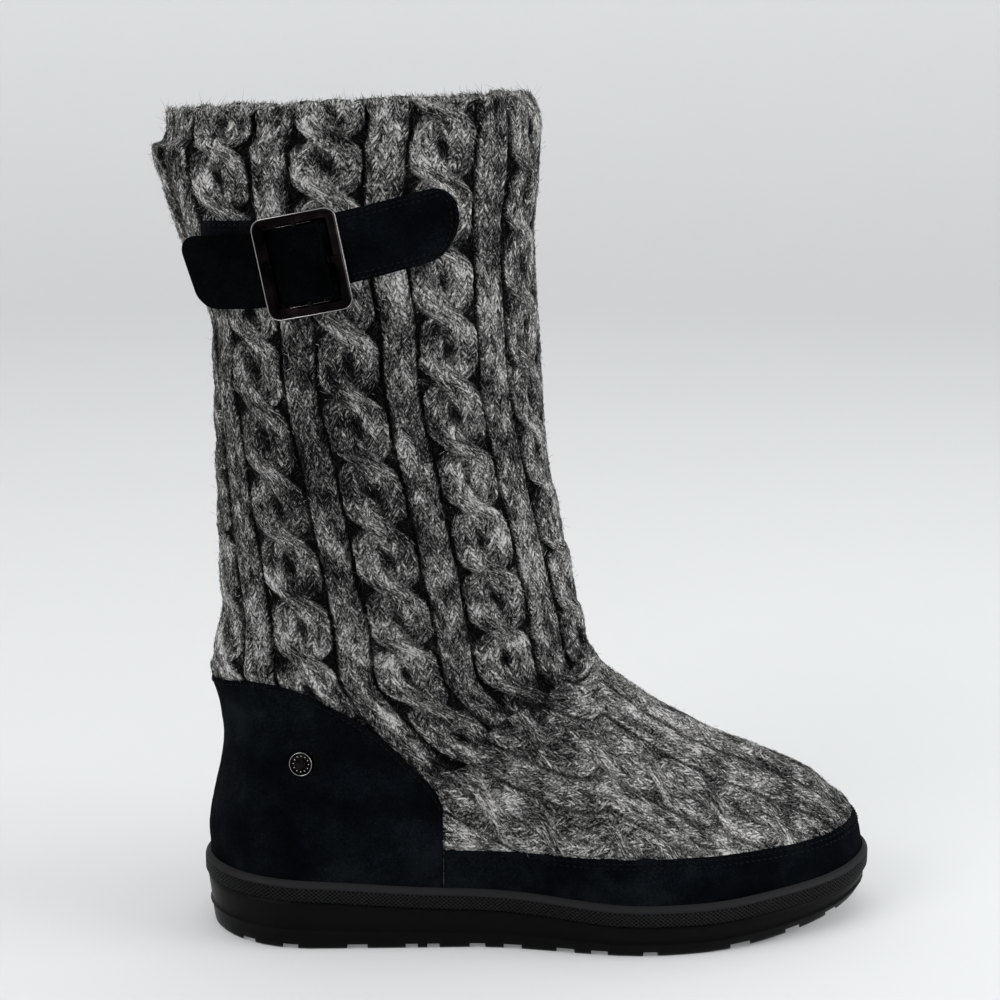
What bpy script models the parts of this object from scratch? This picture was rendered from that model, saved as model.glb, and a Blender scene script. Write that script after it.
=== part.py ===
"""Winter boot for the right foot: a knitted upper, suede overlays, a strap and a rubber sole.

Metres, +Z up. The toe points along +X and the outer side of the foot faces -Y. The origin is on
the floor, under the middle of the heel seat.
"""
import math

import bpy
import numpy as np

# Driving sizes
SOLE_LENGTH = 0.276
BALL_WIDTH = 0.102
BOOT_HEIGHT = 0.3355
COLLAR_RISE = 0.0065
INSTEP_HEIGHT = 0.084
SHAFT_DEPTH = 0.140
SHAFT_WIDTH = 0.097
HEEL_STACK = 0.031
BALL_STACK = 0.0222
TOE_STACK = 0.0172
TOE_SPRING = 0.0104
TOE_SWING = 0.006
HEEL_SEAT = 0.048
SHAFT_MIDDLE = 0.070

# Walls, steps and clearances
CLEARANCE = 0.0003
KNIT_WALL = 0.0032
SUEDE = 0.0014
LEDGE = 0.0022
KNURL_HEIGHT = 0.006
OVERLAY_TUCK = 0.003
FOOTBED = 0.004
SIDE_RECESS = 0.0008
SIDE_RIB = 0.0007
SIDE_RIB_HEIGHT = 0.0016
SIDE_RIB_PLACE = 0.42
SOLE_TAPER = 0.0024
TREAD_BEVEL = 0.0012
GROOVE_DEPTH = 0.0022

# Overlays, heights above the feather line
COUNTER_HEIGHT = 0.081
RAND_HEIGHT = 0.016
SEAM_PLACE = 0.0976

# Strap, buckle and stud. The strap's middle is measured down from the collar, and its front end
# and the buckle forward from the shaft's back.
STRAP_WIDTH = 0.028
STRAP_DROP = 0.0613
STRAP_BASE_LENGTH = 0.095
STRAP_FRONT = 0.1003
BUCKLE_PLACE = 0.0441
BUCKLE_LENGTH = 0.030
BUCKLE_WIDTH = 0.038
BUCKLE_BAND = 0.0044
BUCKLE_THICKNESS = 0.0024
BUCKLE_LEAN = math.radians(11.0)
BUCKLE_CORNER = 0.0042
BUCKLE_RIM = 0.0009
BAR_RADIUS = 0.001
PRONG_WIDTH = 0.0026
PRONG_THICKNESS = 0.0012
PRONG_SETBACK = 0.0012
TIP_REACH = 0.004
TIP_HOLD = 0.013
TIP_SLANT = 0.004
TIP_CORNER = 0.007
TIP_CURL = 0.0015
BASE_WIDTH_SHARE = 0.965
BASE_ROUND_SHARE = 0.4
STUD_RADIUS = 0.0051
STUD_HEIGHT = 0.0026
STUD_PLACE = 0.043
STUD_LEVEL = 0.0488

# Worked out from the driving sizes
SUEDE_LOW = CLEARANCE
SUEDE_TOP = SUEDE_LOW + SUEDE
BAND_INNER = SUEDE_TOP + CLEARANCE
SOLE_MARGIN = BAND_INNER + LEDGE
BAND_DROP = LEDGE + KNURL_HEIGHT
PLATE_DROP = BAND_DROP + CLEARANCE
LAST_LENGTH = SOLE_LENGTH - 2.0 * SOLE_MARGIN
LAST_BACK = SOLE_MARGIN - HEEL_SEAT
SOLE_BACK = -HEEL_SEAT
FEATHER_LEVEL = 0.5 * (HEEL_STACK + BALL_STACK)
SHAFT_HEIGHT = BOOT_HEIGHT - FEATHER_LEVEL - INSTEP_HEIGHT
COLLAR = BOOT_HEIGHT - FEATHER_LEVEL
COLLAR_BEND = INSTEP_HEIGHT + 0.8 * SHAFT_HEIGHT
SHAFT_BACK = LAST_BACK + SHAFT_MIDDLE - 0.5 * SHAFT_DEPTH
STRAP_HEIGHT = BOOT_HEIGHT - STRAP_DROP
STRAP_FRONT_X = SHAFT_BACK + STRAP_FRONT
STRAP_BACK_X = STRAP_FRONT_X - STRAP_BASE_LENGTH
TIP_BACK_X = STRAP_BACK_X - TIP_REACH
TIP_LEAVES_X = STRAP_BACK_X + TIP_HOLD
BUCKLE_X = SHAFT_BACK + BUCKLE_PLACE
INNER_HALF = 0.5 * BUCKLE_LENGTH - BUCKLE_BAND
PANEL_END = 0.8 * INNER_HALF
ON_BASE = SUEDE_TOP + CLEARANCE
ON_TIP = ON_BASE + SUEDE + CLEARANCE

# Mesh counts, and the step that slopes are measured over, as a share
TURN_STEPS = 56
SOLE_STEPS = 88
STUD_STEPS = 24
BAR_STEPS = 8
NUDGE = 0.002

# Sections of the foot. Rise is a share of the instep height. Back and front are shares of the
# last's length. Half widths are shares of the ball width, outer side and inner side, at the heel,
# waist, ball and toe. Rounds are the shares of the section's own length that its ends take.
FOOT_COLUMNS = ("rise", "back", "front", "heel_out", "heel_in", "waist_out", "waist_in",
                "ball_out", "ball_in", "toe_out", "toe_in", "heel_round", "toe_round")
FOOT_SECTIONS = (
    (0.00, 0.000, 1.000, 0.350, 0.340, 0.358, 0.300, 0.474, 0.444, 0.417, 0.431, 0.16, 0.26),
    (0.12, -0.002, 0.9925, 0.364, 0.354, 0.372, 0.318, 0.488, 0.460, 0.425, 0.440, 0.17, 0.28),
    (0.24, 0.003, 0.969, 0.358, 0.348, 0.370, 0.325, 0.484, 0.460, 0.400, 0.415, 0.18, 0.33),
    (0.36, 0.011, 0.936, 0.348, 0.340, 0.362, 0.330, 0.458, 0.446, 0.350, 0.365, 0.19, 0.43),
    (0.48, 0.019, 0.872, 0.340, 0.332, 0.352, 0.328, 0.418, 0.412, 0.310, 0.320, 0.21, 0.50),
    (0.62, 0.024, 0.769, 0.335, 0.330, 0.345, 0.330, 0.383, 0.380, 0.300, 0.305, 0.26, 0.54),
    (0.79, 0.019, 0.670, 0.335, 0.332, 0.350, 0.345, 0.368, 0.366, 0.320, 0.320, 0.34, 0.54),
    (1.00, 0.004, 0.587, 0.345, 0.345, 0.366, 0.366, 0.366, 0.366, 0.345, 0.345, 0.43, 0.50),
)
STATIONS = (0.12, 0.38, 0.66, 0.90)

# Sections of the shaft. Rise is a share of the shaft's height above the instep. Middle is the
# place of the section's middle, measured forward of the shaft's middle, and depth are shares of
# the shaft's depth. Width is a share of the shaft's width. The step is the hem.
HEM_BELOW, HEM_ABOVE = 0.93, 0.942
SHAFT_COLUMNS = ("rise", "middle", "depth", "width")
SHAFT_SECTIONS = (
    (0.11, 0.051, 1.031, 0.814),
    (0.22, 0.031, 0.996, 0.861),
    (0.40, 0.002, 0.939, 0.918),
    (0.58, -0.007, 0.918, 0.959),
    (0.76, -0.056, 0.985, 0.990),
    (0.85, -0.073, 1.043, 1.003),
    (HEM_BELOW, -0.080, 1.068, 1.010),
    (HEM_ABOVE, -0.070, 1.029, 0.974),
    (1.00, -0.069, 1.007, 0.964),
)

# Sole thickness along its length: place, then shares of the heel, ball and toe stacks.
STACK_COLUMNS = ("place", "heel", "ball", "toe")
STACK_TABLE = (
    (0.00, 1.00, 0.00, 0.00),
    (0.15, 0.86, 0.14, 0.00),
    (0.32, 0.52, 0.48, 0.00),
    (0.46, 0.34, 0.66, 0.00),
    (0.62, 0.00, 1.00, 0.00),
    (0.80, 0.00, 0.92, 0.08),
    (1.00, 0.00, 0.00, 1.00),
)
SPRING_START = 0.70

# Grooves across the tread: place and width as shares of the sole's length, slant in degrees.
GROOVE_COLUMNS = ("place", "width", "slant")
GROOVES = (
    (0.075, 0.020, 3.0),
    (0.125, 0.022, -3.0),
    (0.235, 0.030, 3.0),
    (0.300, 0.018, -3.0),
    (0.345, 0.018, 3.0),
    (0.395, 0.023, -3.0),
    (0.460, 0.026, 3.0),
    (0.520, 0.026, -3.0),
    (0.585, 0.024, 3.0),
    (0.640, 0.022, -3.0),
    (0.790, 0.030, 3.0),
    (0.870, 0.022, 3.0),
    (0.930, 0.018, 2.0),
)

# Top edges of the overlays: share of the way from the back or the toe tip to the seam, and
# share of the overlay's height.
COUNTER_EDGE = ((0.00, 0.965), (0.18, 1.0), (0.34, 0.985), (0.55, 0.877), (0.73, 0.74),
                (0.84, 0.617), (0.955, 0.494), (1.00, 0.41))
RAND_EDGE = ((0.00, 1.20), (0.10, 1.16), (0.22, 1.09), (0.36, 1.02), (0.50, 1.00), (1.00, 0.96))

# Rows of the overlays: shares of the way from the feather line up to the top edge.
COUNTER_ROWS = (0.0, 0.045, 0.09, 0.135, 0.18, 0.25, 0.36, 0.5, 0.66, 0.83, 1.0)
RAND_ROWS = (0.0, 0.2, 0.4, 0.6, 0.8, 1.0)

# Middle lines of the strap: share of the strap's length forward of the buckle, and share of its
# width above the strap's height.
BASE_LINE = ((-0.40, 0.03), (0.00, 0.10), (0.20, 0.24), (0.40, 0.41), (0.60, 0.58))
TIP_LINE = ((-0.55, -0.20), (-0.22, -0.13), (0.00, 0.01), (0.16, 0.115))

# Profile of the stud, from the middle of its back: shares of its radius and of its height.
STUD_COLUMNS = ("spread", "rise")
STUD_PROFILE = (
    (0.00, 0.00),
    (0.90, 0.00),
    (1.00, 0.35),
    (0.97, 0.80),
    (0.86, 1.00),
    (0.76, 0.72),
    (0.46, 0.66),
    (0.40, 0.90),
    (0.00, 0.94),
)


class Curve:
    """Smooth curve through the points of a table, with no overshoot between them."""

    def __init__(self, places, values):
        self.places = np.asarray(places, float)
        self.values = np.asarray(values, float)
        step = np.diff(self.places)
        slope = np.diff(self.values) / step
        before, after = slope[:-1], slope[1:]
        first, second = 2.0 * step[1:] + step[:-1], step[1:] + 2.0 * step[:-1]
        same = before * after > 0.0
        safe_before = np.where(same, before, 1.0)
        safe_after = np.where(same, after, 1.0)
        mean = (first + second) / (first / safe_before + second / safe_after)
        inner = np.where(same, mean, 0.0)
        self.slopes = np.concatenate([slope[:1], inner, slope[-1:]])

    def __call__(self, place):
        place = np.clip(place, self.places[0], self.places[-1])
        last = len(self.places) - 2
        index = np.clip(np.searchsorted(self.places, place, side="right") - 1, 0, last)
        width = self.places[index + 1] - self.places[index]
        t = (place - self.places[index]) / width
        start, end = self.values[index], self.values[index + 1]
        rise = 3.0 * t * t - 2.0 * t * t * t
        leave = t * (1.0 - t) * (1.0 - t) * width * self.slopes[index]
        arrive = t * t * (t - 1.0) * width * self.slopes[index + 1]
        return start + (end - start) * rise + leave + arrive


def smooth_step(value):
    """Ease from 0 to 1."""
    t = np.clip(value, 0.0, 1.0)
    return t * t * (3.0 - 2.0 * t)


def section_curves():
    """Each column of the foot and shaft sections as a curve over the height, in metres."""
    rows = []
    for row in FOOT_SECTIONS:
        cell = dict(zip(FOOT_COLUMNS, row))
        entry = {"height": cell["rise"] * INSTEP_HEIGHT}
        entry["back"] = LAST_BACK + cell["back"] * LAST_LENGTH
        entry["front"] = LAST_BACK + cell["front"] * LAST_LENGTH
        for name in FOOT_COLUMNS[3:11]:
            margin = SOLE_MARGIN * smooth_step(1.0 - cell["rise"])
            entry[name] = cell[name] * (BALL_WIDTH + 2.0 * (margin - SOLE_MARGIN))
        entry["heel_round"] = cell["heel_round"]
        entry["toe_round"] = cell["toe_round"]
        rows.append(entry)
    for row in SHAFT_SECTIONS:
        cell = dict(zip(SHAFT_COLUMNS, row))
        middle = LAST_BACK + SHAFT_MIDDLE + cell["middle"] * SHAFT_DEPTH
        entry = {"height": INSTEP_HEIGHT + cell["rise"] * SHAFT_HEIGHT}
        entry["back"] = middle - 0.5 * cell["depth"] * SHAFT_DEPTH
        entry["front"] = middle + 0.5 * cell["depth"] * SHAFT_DEPTH
        for name in FOOT_COLUMNS[3:11]:
            entry[name] = 0.5 * cell["width"] * SHAFT_WIDTH
        entry["heel_round"] = 0.5
        entry["toe_round"] = 0.5
        rows.append(entry)
    heights = [entry["height"] for entry in rows]
    names = FOOT_COLUMNS[1:]
    return {name: Curve(heights, [entry[name] for entry in rows]) for name in names}


def stack_curve():
    """Thickness of the sole over its length, in metres."""
    cells = [dict(zip(STACK_COLUMNS, row)) for row in STACK_TABLE]
    thickness = [cell["heel"] * HEEL_STACK + cell["ball"] * BALL_STACK + cell["toe"] * TOE_STACK
                 for cell in cells]
    return Curve([cell["place"] for cell in cells], thickness)


SECTIONS = section_curves()
STACK = stack_curve()


def spring_level(x):
    """Height of the tread above the floor."""
    share = np.clip((x - SOLE_BACK) / SOLE_LENGTH, 0.0, 1.0)
    lift = np.clip((share - SPRING_START) / (1.0 - SPRING_START), 0.0, 1.0)
    return TOE_SPRING * lift * lift


def feather_level(x):
    """Height of the line where the upper meets the sole."""
    return spring_level(x) + STACK((x - SOLE_BACK) / SOLE_LENGTH)


def end_round(share, reach):
    """Round end of a section: a quarter ellipse that takes reach of its length."""
    t = np.clip(share / reach, 0.0, 1.0)
    return np.sqrt(t * (2.0 - t))


def half_width(along, height, side):
    """Half width of the section at a share of its length, on the outer or the inner side."""
    ends = ("out", "in")
    columns = [
        np.where(side < 0.0, SECTIONS[name + "_" + ends[0]](height),
                 SECTIONS[name + "_" + ends[1]](height))
        for name in ("heel", "waist", "ball", "toe")
    ]
    width = columns[0]
    for index in range(3):
        reach = STATIONS[index + 1] - STATIONS[index]
        blend = smooth_step((along - STATIONS[index]) / reach)
        width = width + (columns[index + 1] - columns[index]) * blend
    round_back = end_round(along, SECTIONS["heel_round"](height))
    round_front = end_round(1.0 - along, SECTIONS["toe_round"](height))
    return width * round_back * round_front


def surface_point(turn, height):
    """Point on the upper's outer face.

    Turn runs from 0 at the heel along the outer side to 0.5 at the toe, and back along the inner
    side to 1. Height is measured from the feather line.
    """
    turn, height = np.broadcast_arrays(np.asarray(turn, float), np.asarray(height, float))
    angle = 2.0 * math.pi * turn
    along = 0.5 * (1.0 - np.cos(angle))
    side = np.where(np.sin(angle) >= 0.0, -1.0, 1.0)
    level = np.maximum(height, 0.0)
    back = SECTIONS["back"](level)
    front = SECTIONS["front"](level)
    x = back + (front - back) * along
    y = side * half_width(along, level, side)
    share = np.clip((x - LAST_BACK) / LAST_LENGTH, 0.0, 1.0)
    y = y + TOE_SWING * np.clip((share - 0.6) / 0.4, 0.0, 1.0) ** 1.5
    fade = 1.0 - smooth_step(level / INSTEP_HEIGHT)
    z = FEATHER_LEVEL + height + (feather_level(x) - FEATHER_LEVEL) * fade
    z = z - COLLAR_RISE * (1.0 - along) * smooth_step((level - COLLAR_BEND) / (COLLAR - COLLAR_BEND))
    return np.stack([x, y, z], axis=-1)


def surface_normal(turn, height):
    """Outward direction of the upper's outer face."""
    rise = NUDGE * COLLAR
    across = surface_point(turn + NUDGE, height) - surface_point(turn - NUDGE, height)
    up = surface_point(turn, height + rise) - surface_point(turn, height - rise)
    normal = np.cross(across, up)
    return normal / np.linalg.norm(normal, axis=-1, keepdims=True)


def offset_point(turn, height, distance):
    """Point at a distance outside the upper's outer face."""
    turn, height = np.broadcast_arrays(np.asarray(turn, float), np.asarray(height, float))
    distance = np.asarray(distance, float)[..., None]
    return surface_point(turn, height) + surface_normal(turn, height) * distance


def turn_at(x, height, side):
    """Turn of the point at x on the outer side (side -1) or the inner side (side 1)."""
    back = SECTIONS["back"](np.maximum(height, 0.0))
    front = SECTIONS["front"](np.maximum(height, 0.0))
    along = np.clip((x - back) / (front - back), 0.0, 1.0)
    turn = np.arccos(1.0 - 2.0 * along) / (2.0 * math.pi)
    return np.where(np.asarray(side) < 0.0, turn, 1.0 - turn)


def outer_side_point(x, z, distance):
    """Point on the outer side of the shaft at x and z."""
    height = np.asarray(z, float) - FEATHER_LEVEL
    return offset_point(turn_at(x, height, -1.0), height, distance)


def material(name, colour, roughness, metallic=0.0):
    """Principled material."""
    made = bpy.data.materials.new(name)
    made.use_nodes = True
    shader = made.node_tree.nodes["Principled BSDF"]
    shader.inputs["Base Color"].default_value = (*colour, 1.0)
    shader.inputs["Roughness"].default_value = roughness
    shader.inputs["Metallic"].default_value = metallic
    return made


def add_solid(name, points, faces, look, smooth_angle=40.0):
    """Object from points and faces, turned to face outwards."""
    points = np.asarray(points, float)
    volume = 0.0
    for face in faces:
        for index in range(1, len(face) - 1):
            corner, first, second = points[face[0]], points[face[index]], points[face[index + 1]]
            volume += float(np.dot(corner, np.cross(first, second)))
    if volume < 0.0:
        faces = [tuple(reversed(face)) for face in faces]
    mesh = bpy.data.meshes.new(name)
    mesh.from_pydata([tuple(point) for point in points], [], faces)
    mesh.validate()
    mesh.materials.append(look)
    mesh.shade_smooth()
    mesh.set_sharp_from_angle(angle=math.radians(smooth_angle))
    made = bpy.data.objects.new(name, mesh)
    bpy.context.scene.collection.objects.link(made)
    return made


def ring_faces(first, second, count):
    """Quads between two closed rings."""
    faces = []
    for index in range(count):
        following = (index + 1) % count
        faces.append((first + index, first + following, second + following, second + index))
    return faces


def add_band(name, rings, look):
    """Solid that runs all round: its section is the closed loop of the rings."""
    count = len(rings[0])
    points = np.concatenate(rings)
    faces = []
    for index in range(len(rings)):
        faces += ring_faces(index * count, ((index + 1) % len(rings)) * count, count)
    return add_solid(name, points, faces, look)


def plate_faces(start, count):
    """Strips across a ring that starts at the heel and passes the toe at half its count."""
    half = count // 2
    faces = [(start, start + 1, start + count - 1)]
    for index in range(1, half - 1):
        faces.append((start + index, start + index + 1,
                      start + count - index - 1, start + count - index))
    faces.append((start + half - 1, start + half, start + half + 1))
    return faces


def add_plate(name, rings, look):
    """Solid stacked from rings, closed across the first and the last."""
    count = len(rings[0])
    points = np.concatenate(rings)
    faces = [tuple(reversed(face)) for face in plate_faces(0, count)]
    for index in range(len(rings) - 1):
        faces += ring_faces(index * count, (index + 1) * count, count)
    faces += plate_faces((len(rings) - 1) * count, count)
    return add_solid(name, points, faces, look)


def add_sheet(name, inner, outer, look):
    """Solid between two grids of the same shape, rows by columns."""
    rows, columns = inner.shape[:2]
    points = np.concatenate([inner.reshape(-1, 3), outer.reshape(-1, 3)])
    shift = rows * columns

    def at(row, column, face):
        return row * columns + column + face * shift

    faces = []
    for row in range(rows - 1):
        for column in range(columns - 1):
            corners = ((row, column), (row, column + 1), (row + 1, column + 1), (row + 1, column))
            faces.append(tuple(at(r, c, 1) for r, c in corners))
            faces.append(tuple(at(r, c, 0) for r, c in reversed(corners)))
    rim = [(0, column) for column in range(columns)]
    rim += [(row, columns - 1) for row in range(1, rows)]
    rim += [(rows - 1, column) for column in range(columns - 2, -1, -1)]
    rim += [(row, 0) for row in range(rows - 2, 0, -1)]
    for index, here in enumerate(rim):
        following = rim[(index + 1) % len(rim)]
        faces.append((at(*here, 0), at(*following, 0), at(*following, 1), at(*here, 1)))
    return add_solid(name, points, faces, look)


def ring_turns(count):
    """Turns of a ring's points, from the heel round by the toe."""
    return np.arange(count) / count


def sole_ring(outset, level_of, count=SOLE_STEPS):
    """Outline of the sole at a distance outside the upper, at heights from a function of x."""
    turns = ring_turns(count)
    points = surface_point(turns, 0.0)
    before = surface_point(turns - NUDGE, 0.0)
    after = surface_point(turns + NUDGE, 0.0)
    run = (after - before)[:, :2]
    outward = np.stack([run[:, 1], -run[:, 0]], axis=-1)
    outward /= np.linalg.norm(outward, axis=-1, keepdims=True)
    flat = points[:, :2] + outward * outset
    return np.column_stack([flat, level_of(flat[:, 0])])


def below_feather(drop):
    """Level at a distance below the feather line, as a function of x."""
    return lambda x: feather_level(x) - drop


def above_tread(rise):
    """Level at a distance above the tread, as a function of x."""
    return lambda x: spring_level(x) + rise


def between_levels(share, shift=0.0):
    """Level at a share of the way from the tread up to the sole's top plate."""
    return lambda x: (spring_level(x) + shift
                      + share * (feather_level(x) - PLATE_DROP - spring_level(x)))


def make_outsole(look):
    """Rubber bottom: top plate, tapered side with its thin rib, bevelled tread and grooves."""
    top = SOLE_MARGIN - SIDE_RECESS
    side = top - SOLE_TAPER * (1.0 - SIDE_RIB_PLACE)
    low = top - SOLE_TAPER
    rib = 0.5 * SIDE_RIB_HEIGHT
    rings = [
        sole_ring(low - TREAD_BEVEL, above_tread(0.0)),
        sole_ring(low, above_tread(TREAD_BEVEL)),
        sole_ring(side, between_levels(SIDE_RIB_PLACE, -rib)),
        sole_ring(side + SIDE_RIB, between_levels(SIDE_RIB_PLACE)),
        sole_ring(side, between_levels(SIDE_RIB_PLACE, rib)),
        sole_ring(top, below_feather(PLATE_DROP)),
    ]
    outsole = add_plate("outsole", rings, look)
    cutter = make_groove_cutter(look)
    cut = outsole.modifiers.new("grooves", "BOOLEAN")
    cut.operation = "DIFFERENCE"
    cut.solver = "EXACT"
    cut.object = cutter
    return outsole


def make_groove_cutter(look):
    """Boxes across the tread, one for each groove, laid along the toe spring."""
    reach = 0.5 * BALL_WIDTH + TOE_SWING
    points, faces = [], []
    for row in GROOVES:
        cell = dict(zip(GROOVE_COLUMNS, row))
        x = SOLE_BACK + cell["place"] * SOLE_LENGTH
        half = 0.5 * cell["width"] * SOLE_LENGTH
        slope = (spring_level(x + half) - spring_level(x - half)) / (2.0 * half)
        slant = math.tan(math.radians(cell["slant"]))
        start = len(points)
        for along in (-half, half):
            for across in (-reach, reach):
                for up in (-GROOVE_DEPTH, GROOVE_DEPTH):
                    place = x + along + slant * across - slope * up
                    points.append((place, across, spring_level(x) + slope * along + up))
        order = ((0, 1, 3, 2), (4, 6, 7, 5), (0, 4, 5, 1), (2, 3, 7, 6), (0, 2, 6, 4), (1, 5, 7, 3))
        faces += [tuple(start + corner for corner in face) for face in order]
    cutter = add_solid("groove_cutter", points, faces, look)
    cutter.hide_render = True
    cutter.display_type = "WIRE"
    return cutter


def make_foxing_band(look):
    """Rubber strip round the sole's top: a bevelled ledge above an upright face."""
    rings = [
        sole_ring(BAND_INNER, below_feather(BAND_DROP)),
        sole_ring(SOLE_MARGIN, below_feather(BAND_DROP)),
        sole_ring(SOLE_MARGIN, below_feather(LEDGE)),
        sole_ring(BAND_INNER, below_feather(0.0)),
    ]
    return add_band("foxing_band", rings, look)


def make_insole(look):
    """Footbed inside the upper, on the sole's top plate."""
    outset = -KNIT_WALL - CLEARANCE
    bottom = BAND_DROP
    rounding = 0.25 * FOOTBED
    rings = [
        sole_ring(outset, below_feather(bottom), TURN_STEPS),
        sole_ring(outset, below_feather(bottom - FOOTBED + rounding), TURN_STEPS),
        sole_ring(outset - rounding, below_feather(bottom - FOOTBED), TURN_STEPS),
    ]
    return add_plate("insole", rings, look)


def upper_levels():
    """Heights of the upper's rows: its bottom edge, foot, shaft and hem."""
    foot_bend = 0.36 * INSTEP_HEIGHT
    foot = np.concatenate([np.linspace(0.0, foot_bend, 8), np.linspace(foot_bend, INSTEP_HEIGHT, 8)[1:]])
    hem_start = INSTEP_HEIGHT + HEM_BELOW * SHAFT_HEIGHT
    shaft = np.linspace(INSTEP_HEIGHT, hem_start, 12)[1:]
    hem = INSTEP_HEIGHT + np.array([HEM_ABOVE, 0.5 * (HEM_ABOVE + 1.0)]) * SHAFT_HEIGHT
    return np.concatenate([[-BAND_DROP], foot, shaft, hem])


def make_upper(look):
    """Hollow knitted boot, open at the collar and underneath."""
    turns = ring_turns(TURN_STEPS)
    levels = upper_levels()
    rim = 0.5 * KNIT_WALL
    rings = [surface_point(turns, level) for level in levels]
    rings.append(surface_point(turns, COLLAR - rim))
    rings.append(offset_point(turns, COLLAR, -rim))
    rings.append(offset_point(turns, COLLAR - rim, -KNIT_WALL))
    for level in [*levels[:2:-2], levels[1], levels[0]]:
        rings.append(offset_point(turns, level, -KNIT_WALL))
    return add_band("upper", rings, look)


def wrap_share(count):
    """Places from one seam to the other round an end of the boot, closest at the end."""
    angle = np.linspace(-0.5 * math.pi, 0.5 * math.pi, count)
    return np.sign(angle), 1.0 - np.cos(angle)


def overlay_grids(end_name, seam, edge, height, columns, rises):
    """Inner and outer grid of a suede overlay that wraps one end of the boot."""
    side, share = wrap_share(columns)
    top = Curve([row[0] for row in edge], [row[1] * height for row in edge])(share)
    tuck = np.full((1, columns), -OVERLAY_TUCK)
    level = np.concatenate([tuck, top[None, :] * np.array(rises)[:, None]])
    end = SECTIONS[end_name](np.maximum(level, 0.0))
    x = end + (seam - end) * share[None, :]
    turn = turn_at(x, level, side[None, :] + 0.0 * level)
    return offset_point(turn, level, SUEDE_LOW), offset_point(turn, level, SUEDE_TOP)


def make_heel_counter(look):
    """Suede round the heel, forward to the side seams."""
    seam = SOLE_BACK + SEAM_PLACE - 0.5 * CLEARANCE
    inner, outer = overlay_grids("back", seam, COUNTER_EDGE, COUNTER_HEIGHT, 37, COUNTER_ROWS)
    return add_sheet("heel_counter", inner, outer, look)


def make_toe_rand(look):
    """Low suede strip round the toe, back to the side seams."""
    seam = SOLE_BACK + SEAM_PLACE + 0.5 * CLEARANCE
    inner, outer = overlay_grids("front", seam, RAND_EDGE, RAND_HEIGHT, 49, RAND_ROWS)
    return add_sheet("toe_rand", inner, outer, look)


def strap_grid(line, start, end, width_share, lift_of, place, columns, rows):
    """Inner and outer grid of a strap on the outer side of the shaft, closest at its back end."""
    middle = Curve([row[0] for row in line], [row[1] for row in line])
    angle = np.linspace(0.0, 0.5 * math.pi, columns)
    along = 0.4 * angle / angle[-1] + 0.6 * (1.0 - np.cos(angle))
    across = np.sin(np.linspace(-0.5 * math.pi, 0.5 * math.pi, rows))[:, None]
    x = start(across) + (end(across) - start(across)) * along[None, :]
    rise = middle((x - BUCKLE_X) / STRAP_BASE_LENGTH)
    z = STRAP_HEIGHT + STRAP_WIDTH * (rise + 0.5 * width_share * across)
    lift = lift_of(x, z)
    return place(x, z, lift), place(x, z, lift + SUEDE)


def round_end(place, depth):
    """End of a strap, rounded across its width."""
    return lambda across: place - depth * (1.0 - np.sqrt(np.maximum(1.0 - across ** 2, 0.0)))


def square_end(place, slant=0.0):
    """End of a strap cut straight, at a slant."""
    return lambda across: place - slant * across


def cornered_end(place, slant, corner):
    """Back end of a strap cut at a slant, with rounded corners."""
    reach = corner / (0.5 * STRAP_WIDTH)

    def end(across):
        past = np.clip((np.abs(across) - 1.0 + reach) / reach, 0.0, 1.0)
        return place - slant * across + corner * (1.0 - np.sqrt(1.0 - past ** 2))

    return end


def make_strap_base(look):
    """Suede strap sewn flat to the shaft, under the buckle."""
    inner, outer = strap_grid(
        BASE_LINE, square_end(STRAP_BACK_X), round_end(STRAP_FRONT_X, BASE_ROUND_SHARE * STRAP_WIDTH),
        BASE_WIDTH_SHARE, lambda x, z: SUEDE_LOW + 0.0 * x, outer_side_point, 21, 9)
    return add_sheet("strap_base", inner, outer, look)


def frame_seat(ahead):
    """Distance of the buckle's underside from the shaft, higher at the back over the strap."""
    share = (0.5 * BUCKLE_LENGTH - ahead) / (0.5 * BUCKLE_LENGTH + INNER_HALF)
    return ON_BASE + (ON_TIP - ON_BASE) * np.clip(share, 0.0, 1.0)


def buckle_point(ahead, up, lift):
    """Point at a place in the buckle's own plane, lift above its underside."""
    x = BUCKLE_X + ahead * math.cos(BUCKLE_LEAN) - up * math.sin(BUCKLE_LEAN)
    z = STRAP_HEIGHT + ahead * math.sin(BUCKLE_LEAN) + up * math.cos(BUCKLE_LEAN)
    return outer_side_point(x, z, frame_seat(ahead) + lift)


def rounded_loop(length, width, corner, steps=4):
    """Points of a rounded rectangle, corner by corner."""
    points = []
    for quarter in range(4):
        sign_x = 1.0 if quarter in (0, 3) else -1.0
        sign_y = 1.0 if quarter in (0, 1) else -1.0
        for step in range(steps + 1):
            angle = 0.5 * math.pi * (quarter + step / steps)
            points.append((sign_x * (0.5 * length - corner) + corner * math.cos(angle),
                           sign_y * (0.5 * width - corner) + corner * math.sin(angle)))
    return np.array(points)


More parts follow.
